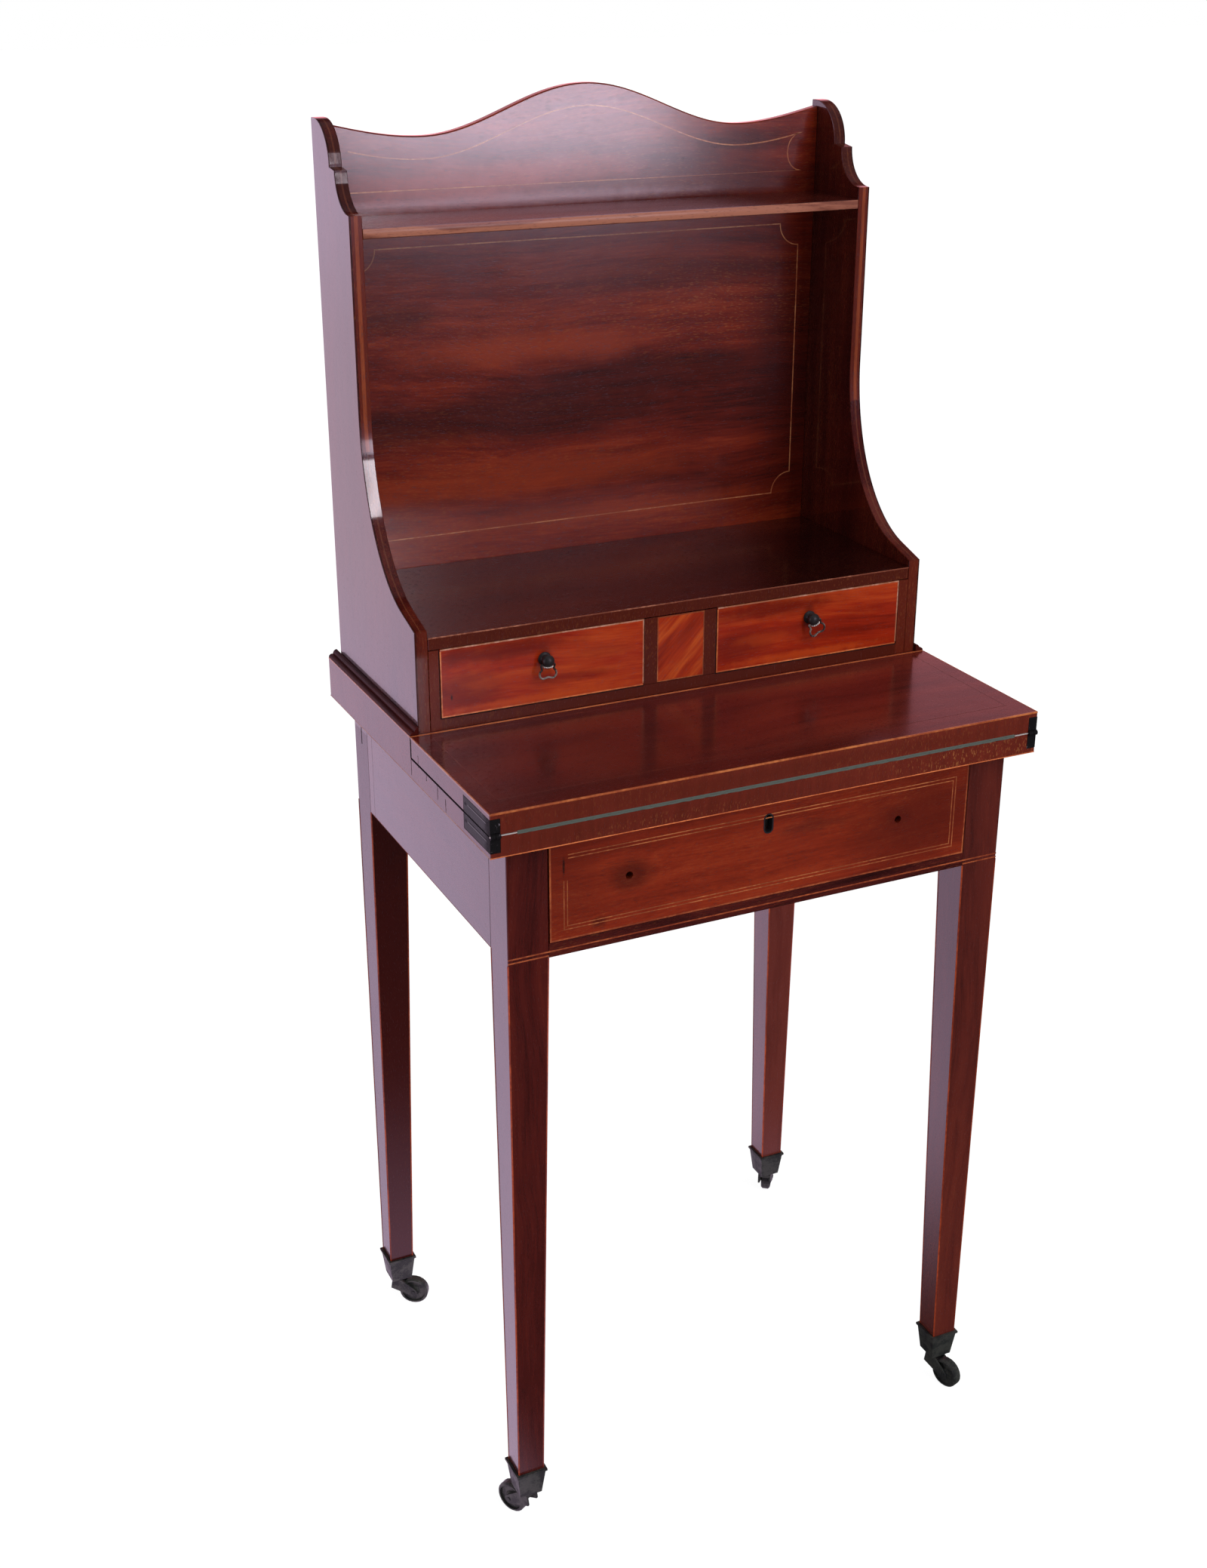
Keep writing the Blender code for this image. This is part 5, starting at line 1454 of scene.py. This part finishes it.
@dataclass
class DropHandle:
    """A turned post with a bent bail, finer than the frame's plain ones."""

    side: str
    turn: float
    rise: float = 9.1 * MM
    wire: float = 1.0 * MM
    head: float = 5.9 * MM
    dome: float = 4.0 * MM
    length: float = 12.4 * MM
    pivot_out: float = 7.4 * MM
    pivot_drop: float = 3.0 * MM
    collar: float = 4.1 * MM
    bead: float = 0.85 * MM
    beads: int = 14

    def __post_init__(self) -> None:
        """Find its drawer, and the way from the handle's own axes to the desk's."""
        self.drawer = f"{self.side}_small_drawer"
        low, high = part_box(f"{self.drawer}_front")
        foot = Vector(((low.x + high.x) / 2, low.y - 0.25 * MM, (low.z + high.z) / 2 + self.rise))
        self.matrix = Matrix.Translation(foot) @ Matrix.Rotation(math.radians(self.turn), 4, "Y")

    def post(self, shop: Workshop) -> None:
        """A round foot, a neck and a domed head."""
        profile = in_mm((0, 0), (6.3, 0), (6.3, 0.7), (5.6, 1.3), (4.5, 1.6), (4.0, 2.4), (3.8, 3.6), (4.4, 4.6))
        for index in range(9):
            angle = math.radians(-40 + 130 * index / 9)
            profile.append((self.head * math.cos(angle), self.length - self.dome + self.dome * math.sin(angle)))
        lug = in_mm((0, -2.0), (3.4, -2.0), (3.6, -5.0), (2.6, -6.6), (0, -7.1))
        bm = joined(
            lathe([*profile, (0, self.length)], (0, -1, 0), (0, 0, 0), 32),
            lathe(lug, (0, 0, 1), (0, -self.pivot_out, 0), 24),
        )
        bm.transform(self.matrix)
        post = f"{self.side}_handle_post"
        shop.piece(f"{self.side}_handle_knop", bm, KNOP_METAL, self.drawer, (post,))

    def necklace(self, shop: Workshop) -> None:
        """A rope collar of small beads round the lug."""
        bm = bmesh.new()
        for index in range(self.beads):
            angle = math.tau * index / self.beads
            spot = (self.collar * math.cos(angle), self.collar * math.sin(angle) - self.pivot_out, -5 * MM)
            bmesh.ops.create_icosphere(bm, subdivisions=2, radius=self.bead, matrix=Matrix.Translation(spot))
        bm.transform(self.matrix)
        # The beads are pale as painted glints.
        shop.piece(f"{self.side}_handle_beads", bm, GLINT_METAL, self.drawer)

    def bail(self, shop: Workshop) -> None:
        """A wire loop, narrow at its pivots, bulging to both sides and dented at its foot."""
        right = in_mm(
            (3.6, 0.0), (5.6, 0.0), (6.6, -0.6), (6.5, -2.2), (5.8, -4.0), (6.1, -5.4), (7.6, -6.6),
            (8.3, -8.8), (8.0, -11.2), (6.2, -13.2), (3.9, -13.6), (1.8, -12.7), (0.0, -12.4),
        )
        points = right + [(-x, z) for x, z in reversed(right[:-1])]
        curve = bpy.data.curves.new("bail", "CURVE")
        curve.dimensions = "3D"
        curve.bevel_depth = self.wire
        curve.bevel_resolution = 3
        curve.use_fill_caps = True
        curve.resolution_u = 3
        spline = curve.splines.new("NURBS")
        spline.points.add(len(points) - 1)
        for point, (x, z) in zip(spline.points, points):
            point.co = (x, -self.pivot_out, z - self.pivot_drop, 1.0)
        spline.use_endpoint_u = True
        spline.order_u = 3
        holder = placed("bail", curve)
        bpy.context.view_layer.update()
        mesh = bpy.data.meshes.new_from_object(holder.evaluated_get(bpy.context.evaluated_depsgraph_get()))
        bpy.data.objects.remove(holder, do_unlink=True)
        bm = bmesh.new()
        bm.from_mesh(mesh)
        bmesh.ops.remove_doubles(bm, verts=bm.verts, dist=WELD)
        bm.transform(self.matrix)
        bmesh.ops.recalc_face_normals(bm, faces=bm.faces[:])
        name = f"{self.side}_bail"
        shop.piece(name, bm, WORN_GLINT_METAL, name, (f"{self.side}_handle_bail",), 60.0)

    def build(self, shop: Workshop) -> None:
        """Make the handle."""
        self.post(shop)
        self.necklace(shop)
        self.bail(shop)


@dataclass
class SmallDrawers:
    """The two drawers of the case, their edge lines with a painted highlight on the top and right edges, and handles.
    """

    edge: float = 1.3 * MM
    turns: tuple[tuple[str, float], ...] = (("left", 0.0), ("right", -24.0))

    def build(self, shop: Workshop) -> None:
        """Dress both drawers. The left one has a nick."""
        red, orange, e = (0.130, 0.0050, 0.0010), (0.600, 0.0700, 0.0090), self.edge / 2
        for index, (side, turn) in enumerate(self.turns):
            drawer = f"{side}_small_drawer"
            low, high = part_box(f"{drawer}_front")
            tall = high.z - low.z
            blots = patches(
                ((low.x + high.x) / 2, low.y, low.z),
                (-0.04, tall - 0.009, 0.100, 0.014, red, 0.75, 0.4),
                (-0.08, 0.022, 0.055, 0.024, red, 0.60, 0.4),
                (0.03, 0.020, 0.060, 0.007, red, 0.40, 0.5),
                (0.06, tall - 0.024, 0.040, 0.010, red, 0.25, 0.5),
                (0.0, 0.005, 0.120, 0.006, orange, 0.70, 0.5),
                (-0.05, 0.027, 0.050, 0.008, orange, 0.35, 0.5),
                (0.0, tall - 0.020, 0.009, 0.016, (0.080, 0.0080, 0.0035), 0.5, 0.4),
            )
            if side == "left":
                blots += patches(low, (0.010, 0.018, 0.0013, 0.004, (0.02, 0.004, 0.003), 0.95, 0.1))
            front = Mahogany(
                f"{drawer}_mahogany", *DRAWER, coat=0.5, clouds=0.6, figure=1.0, fleck=0.25, speckle=0.05,
                cloud_size=(2.4, 16.0), offset=(0.0, 0.31 * index, 0.27 * index), blots=blots,
            )
            shop.dress(front, f"{drawer}_front")
            shop.dress(LINING, *(f"{drawer}_{part}" for part in DRAWER_PARTS))
            a, b, c, d = low.x + e, high.x - e, low.z + e, high.z - e
            # The top and right line is a painted highlight on the lit arris; the left and bottom one is an orange
            # edge line.
            for name, finish, path in (
                ("painted_highlight_edge", ARRIS_HIGHLIGHT, ((a, d), (b, d), (b, c + 2 * e))),
                ("lower_edge", EDGE_LINE, ((a, d - 2 * e), (a, c), (b, c))),
            ):
                edging = inlay(Plane.front(low.y), [Line(path)], self.edge, depth=0.8 * MM)
                shop.piece(f"{drawer}_{name}", edging, finish, drawer)
            DropHandle(side, turn).build(shop)


@dataclass
class Superstructure:
    """The shaped sides, back, shelf and drawer case with their lines."""

    nosing: float = 0.7 * MM
    line: float = 1.1 * MM
    sweep: Flat = (115 * MM, 162 * MM)
    sweep_rise: float = 262 * MM
    shoulder: float = 430 * MM
    cove: float = 34 * MM
    notch: Flat = (13.5 * MM, 466 * MM)
    ovolo: float = 38 * MM
    crest_span: float = 162 * MM
    crest_low: float = 485.5 * MM
    crest_peak: float = 526.5 * MM
    crest_end: float = 498.5 * MM
    crest_reach: float = 249 * MM
    divider: float = 24.4 * MM

    def __post_init__(self) -> None:
        """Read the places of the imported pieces."""
        self.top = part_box("flap")[1].z
        self.panel_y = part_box("back_panel")[0].y
        self.side_low, self.side_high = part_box("left_side_panel")
        self.shelf_low, self.shelf_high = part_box("upper_shelf")
        self.case_low, self.case_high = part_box("drawer_case_top")
        self.notch_y = self.shelf_low.y + self.cove + self.notch[0]

    def side_outline(self) -> list[Flat]:
        """The shaped side in y and z, from the nose over the sweep, cove and quarter round."""
        front, rear, shelf = self.side_low.y, self.side_high.y, self.shelf_low.y
        a, b = self.sweep
        points = [(rear, self.side_low.z), (front, self.side_low.z), (front, self.case_high.z + 6.6 * MM)]
        for index in range(37):
            angle = math.radians(11.5 + 78.5 * index / 36)
            points.append((shelf - a + a * math.sin(angle), self.top + self.sweep_rise - b * math.cos(angle)))
        points += arc((shelf, self.top + self.shoulder + self.cove), self.cove, -90, 0, 16)
        points += arc((self.notch_y + self.ovolo, self.top + self.notch[1]), self.ovolo, 180, 90, 18)
        points.append((rear, self.top + self.notch[1] + self.ovolo))
        return points

    def sides(self, shop: Workshop) -> None:
        """Two side panels with rounded show edges."""
        middle = abs(self.side_low.x + self.side_high.x) / 2
        finish = Mahogany(
            "side_mahogany", *CARCASE, run=Axis.Z, clouds=0.8, cloud_size=(1.4, 12.0), edge=Axis.X, coat_rough=0.07,
            bands=(*self.edge_bands(-middle), *self.edge_bands(middle)),
        )
        outline = self.side_outline()
        for side in ("left", "right"):
            low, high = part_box(f"{side}_side_panel")
            bm = pulled([(low.x, y, z) for y, z in outline], (high.x - low.x, 0, 0))
            shown = []
            for edge in bm.edges:
                a, b = (v.co for v in edge.verts)
                hidden = min(a.y, b.y) > high.y - MM or max(a.z, b.z) < low.z + MM
                if abs(a.x - b.x) < MM and not hidden:
                    shown.append(edge)
            soften(bm, shown, self.nosing, 2)
            shop.piece(f"{side}_shaped_side", bm, finish, replaced=(f"{side}_side_panel",), smooth=20.0)

    def edge_bands(self, middle: float) -> list[Band]:
        """The tones along a side's show edge.

        Args:
            middle: where the middle of the edge is across.

        Returns:
            Its bands: orange at the nose and up to the cove, dull in the notch, lighter lines along the
            middle and a dark outer arris.
        """
        top, rise = self.top, self.top + self.shoulder
        upright, crown = top + self.sweep_rise - 35 * MM, rise + 0.2
        nose = self.case_high.z + 6 * MM
        notch_y, notch_z = self.notch_y, top + self.notch[1]
        outer = sorted(math.copysign(reach * MM, middle) for reach in (4.4, 6.0))
        warm, lit, dull = (0.150, 0.020, 0.008), (0.340, 0.070, 0.022), (0.160, 0.045, 0.022)
        wide, line = (-7 * MM, 7 * MM), -0.4 * MM
        rows = (
            (*wide, -1, 1, upright, rise, warm, 0.8, 2 * MM, True),
            (*wide, -1, 1, top, nose, warm, 0.8, 2 * MM, True, 0.3, 1.0),
            (*wide, notch_y - 25 * MM, notch_y + 10 * MM, notch_z - 24 * MM, notch_z + 20 * MM,
             (0.060, 0.015, 0.011), 0.9, 5 * MM, True, 0.3, 1.0),
            (-MM, 1.4 * MM, -1, 1, upright, rise, lit, 0.75, MM, True),
            (line, -line, -1, 1, nose, upright, dull, 0.7, 0.5 * MM, True),
            (line, 0.6 * MM, -1, 1, rise, crown, dull, 0.6, 0.5 * MM, True),
            (*outer, -1, 1, top, crown, (0.020, 0.004, 0.003), 0.8, 0.3 * MM, True),
        )
        return [Band((middle + a, c, e), (middle + b, d, f), *rest) for a, b, c, d, e, f, *rest in rows]

    def back(self, shop: Workshop) -> None:
        """Finish the back panel."""
        dark, bright = (0.034, 0.0042, 0.0034), (0.330, 0.0400, 0.0090)
        blots = patches(
            (0.0, self.panel_y, self.top),
            (-0.10, 0.225, 0.36, 0.034, dark, 0.70, 0.3),
            (0.06, 0.255, 0.22, 0.030, dark, 0.60, 0.3),
            (-0.20, 0.325, 0.07, 0.020, dark, 0.5, 0.3),
            (0.10, 0.350, 0.24, 0.022, dark, 0.35, 0.4),
            # Painted shadow of the right side panel on the back, near that side and low down.
            (0.235, 0.25, 0.075, 0.16, dark, 0.65, 0.3),
            (0.18, 0.13, 0.12, 0.045, dark, 0.35, 0.4),
            (0.12, 0.43, 0.28, 0.035, dark, 0.55, 0.4),
            (-0.06, 0.165, 0.26, 0.026, bright, 0.50, 0.4),
            (-0.02, 0.120, 0.30, 0.016, bright, 0.40, 0.5),
            (-0.05, 0.290, 0.18, 0.024, bright, 0.70, 0.4),
            (0.12, 0.310, 0.13, 0.060, (0.50, 0.21, 0.07), 0.14, 0.5, True),
            (0.05, 0.462, 0.20, 0.020, dark, 0.40, 0.5),
            (0.16, 0.470, 0.09, 0.014, dark, 0.55, 0.5),
            # A painted reflection: a pale mauve strip of sheen along the crest's foot, over the shelf.
            (-0.08, 0.426, 0.24, 0.011, (0.300, 0.130, 0.145), 0.60, 0.3),
            (-0.14, 0.440, 0.13, 0.022, (0.340, 0.055, 0.034), 0.65, 0.5),
            (-0.02, 0.452, 0.10, 0.018, (0.380, 0.060, 0.036), 0.45, 0.5),
        )
        finish = Mahogany(
            "back_mahogany", *PANEL, clouds=0.6, figure=0.8, speckle=0.16, cloud_size=(1.3, 6.0), blots=blots
        )
        shop.dress(finish, "back_panel")

    def back_lines(self, shop: Workshop) -> None:
        """Lay the framed line under the shelf and the shaped one on the crest."""
        top = self.top
        x, low, high, r = 232.5 * MM, top + 116.5 * MM, top + 389 * MM, 21 * MM
        corners = ((x, high, 180), (x, low, 90), (-x, low, 0), (-x, high, 270))
        lower = Line(tuple(p for u, v, start in corners for p in arc((u, v), r, start, start + 90, 10)), True)
        end, foot, r = 232 * MM, top + 439.2 * MM, 17 * MM
        steps = 48
        places = [-end + 2 * end * index / steps for index in range(steps + 1)]
        crest = [(u, top + self.crest(u) - 20 * MM) for u in places]
        tip = crest[-1][1]
        middle, half = (tip + foot) / 2, (tip - foot) / 2
        turns = [math.pi * i / 12 for i in range(1, 13)]
        bow = [(end - r * 0.9 * math.sin(turn), middle + half * math.cos(turn)) for turn in turns]
        upper = Line((*crest, *bow, (-end, foot)))
        shop.piece("back_stringing", inlay(Plane.front(self.panel_y), [lower, upper], self.line), PANEL_LINE)

    def crest(self, x: float) -> float:
        """Height of the crest over the table top.

        Args:
            x: the place across it.

        Returns:
            The height.
        """
        if abs(x) <= self.crest_span:
            middle = (self.crest_peak + self.crest_low) / 2
            return middle + (self.crest_peak - self.crest_low) / 2 * math.cos(math.pi * x / self.crest_span)
        share = (abs(x) - self.crest_span) / (self.crest_reach - self.crest_span)
        return self.crest_low + (self.crest_end - self.crest_low) * (1 - math.cos(math.pi / 2 * share))

    def shelf(self, shop: Workshop) -> None:
        """A shelf with a rounded front edge."""
        low, high = self.shelf_low, self.shelf_high
        pad = Vector((MM, MM, MM))
        bm = block(low, high)
        along = (e for e in bm.edges if abs(e.verts[0].co.x - e.verts[1].co.x) > MM)
        soften(bm, [e for e in along if all(v.co.y < low.y + MM for v in e.verts)], 1.2 * MM, 3)
        # A painted reflection: pale mauve blots on the shelf's top stand for the crest's sheen mirrored in it,
        # lighter at the left.
        sheen_haze = (0.380, 0.210, 0.255)
        tones = ((0.030, 0.0045, 0.0035), (0.060, 0.0085, 0.0060), (0.110, 0.0200, 0.0120))
        finish = Mahogany(
            "shelf_mahogany", *tones, clouds=0.7, edge_rough=0.3, edge_dull=0.8, speckle=0.2,
            blots=(
                Blot((-0.12, low.y, high.z), (0.28, 0.3, 4 * MM), sheen_haze, 0.75, 0.15),
                Blot((0.03, low.y, high.z), (0.15, 0.3, 4 * MM), sheen_haze, 0.65, 0.15),
            ),
            bands=(
                Band(low - pad, high + pad, (0.400, 0.120, 0.062), 0.9, 0.5 * MM, True, 0.4),
                Band(low - pad, high + pad, (0.580, 0.260, 0.160), 0.30, 0.5 * MM, True, 1.0),
            ),
        )
        shop.piece("rounded_shelf", bm, finish, replaced=("upper_shelf",))

    def case(self, shop: Workshop) -> None:
        """Finish the drawer case, with painted shade in the black gaps round its drawers and warm stiles beside them.
        """
        low, high, wide = self.case_low, self.case_high, 1.1 * MM
        # Painted shade in the gaps round the drawers.
        gaps = []
        for side in ("left", "right"):
            a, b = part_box(f"{side}_small_drawer_front")
            near, far = a.y - 2 * MM, a.y + 3 * MM
            for start, end in (
                ((a.x - wide, near, a.z - wide), (a.x, far, b.z)),
                ((a.x - wide, near, a.z - wide), (b.x, far, a.z)),
                ((b.x, near, a.z), (b.x + wide / 2, far, b.z)),
            ):
                gaps.append(Seam(start, end, ragged=0.3 * MM))
        stile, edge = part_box("right_small_drawer_front")[1].x, 0.27
        warm = ((0.200, 0.022, 0.008), 0.7, 0.5 * MM, True, 0.3, 0.6)
        bands = tuple(
            Band((x, low.y - 0.02, self.top), (x + edge - stile, low.y + 0.05, low.z), *warm) for x in (-edge, stile)
        )
        tones = ((0.018, 0.0026, 0.0020), (0.036, 0.0044, 0.0030), (0.070, 0.0095, 0.0048))
        finish = Mahogany(
            "case_mahogany", *tones, clouds=0.35, cloud_size=(1.2, 10.0), speckle=0.05, banded=True,
            edge_tone=(0.135, 0.0200, 0.0085), edge_dull=0.8, edge_share=0.6, edge_gold=0.25,
            blots=(
                Blot((0.19, low.y + 0.06, high.z), (0.17, 0.20, 0.02), (0.009, 0.0012, 0.0010), 0.85, 0.3),
                Blot((0.252, low.y, self.top + 0.018), (0.022, 0.03, 0.040), (0.50, 0.22, 0.08), 0.6, 0.4, True),
            ),
            bands=bands,
            seams=tuple(gaps),
        )
        shop.dress(finish, "drawer_case_top", "drawer_case_tray", "centre_divider")

    def flame(self, shop: Workshop) -> None:
        """Let the slanting figured panel and its line into the centre divider."""
        low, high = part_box("centre_divider")
        half, bottom, crown, e = self.divider, low.z + 0.4 * MM, high.z - 0.4 * MM, 0.5 * MM
        panel = block((-half, low.y - 0.1 * MM, bottom), (half, low.y + 0.4 * MM, crown))
        tones = ((0.210, 0.0140, 0.0030), (0.430, 0.0340, 0.0055), (0.640, 0.1000, 0.0150))
        wood = Mahogany(
            "divider_flame", *tones, clouds=0.9, cloud_size=(7.0, 60.0), coat=0.5, speckle=0.0,
            tilt=(0.0, 48.0, 0.0), tilt_centre=(0.0, low.y, (low.z + high.z) / 2),
        )
        shop.piece("divider_flame_panel", panel, wood)
        line = Line.frame((-half + e, bottom + e), (half - e, crown - e))
        strip = inlay(Plane.front(low.y), [line], 0.9 * MM, 0.22 * MM, 0.5 * MM)
        shop.piece("divider_stringing", strip, STRINGING)

    def case_line(self, shop: Workshop) -> None:
        """Lay the line on the front arris of the case's top."""
        low, high, size = self.case_low, self.case_high, 1.2 * MM
        bar = arris_bar((low.x, low.y - PROUD, high.z - size), (high.x, low.y + size, high.z + PROUD))
        shop.piece("case_top_line", bar, CASE_LINE)

    def mouldings(self, shop: Workshop) -> None:
        """Finish the two ledge mouldings."""
        dull = {"coat": 0.0, "specular": 0.06, "gloss": 0.4, "speckle": 0.0}
        finish = Mahogany("moulding_mahogany", *CARCASE, run=Axis.Y, clouds=0.6, **dull)
        shop.dress(finish, "left_ledge_moulding", "right_ledge_moulding")

    def build(self, shop: Workshop) -> None:
        """Dress the superstructure."""
        self.sides(shop)
        self.back(shop)
        self.back_lines(shop)
        self.shelf(shop)
        self.case(shop)
        self.flame(shop)
        self.case_line(shop)
        self.mouldings(shop)


@dataclass
class Castors:
    """The castors' finish."""

    parts: tuple[str, ...] = ("cup", "fork", "wheel")

    def build(self, shop: Workshop) -> None:
        """Dress cups, forks and wheels."""
        for corner in CORNERS:
            shop.dress(CASTOR_METAL, *(f"{corner}_castor_{part}" for part in self.parts))


def main() -> None:
    """Set up the studio and dress the desk."""
    logging.basicConfig(level=logging.INFO, format="%(name)s: %(message)s")
    Studio().build()
    shop = Workshop()
    parts = (FoldingTop(), LegsAndFrieze(), FriezeDrawer(), SmallDrawers(), Superstructure(), Castors())
    for part in parts:
        LOG.info("building %s", type(part).__name__)
        part.build(shop)


if __name__ == "__main__":
    main()
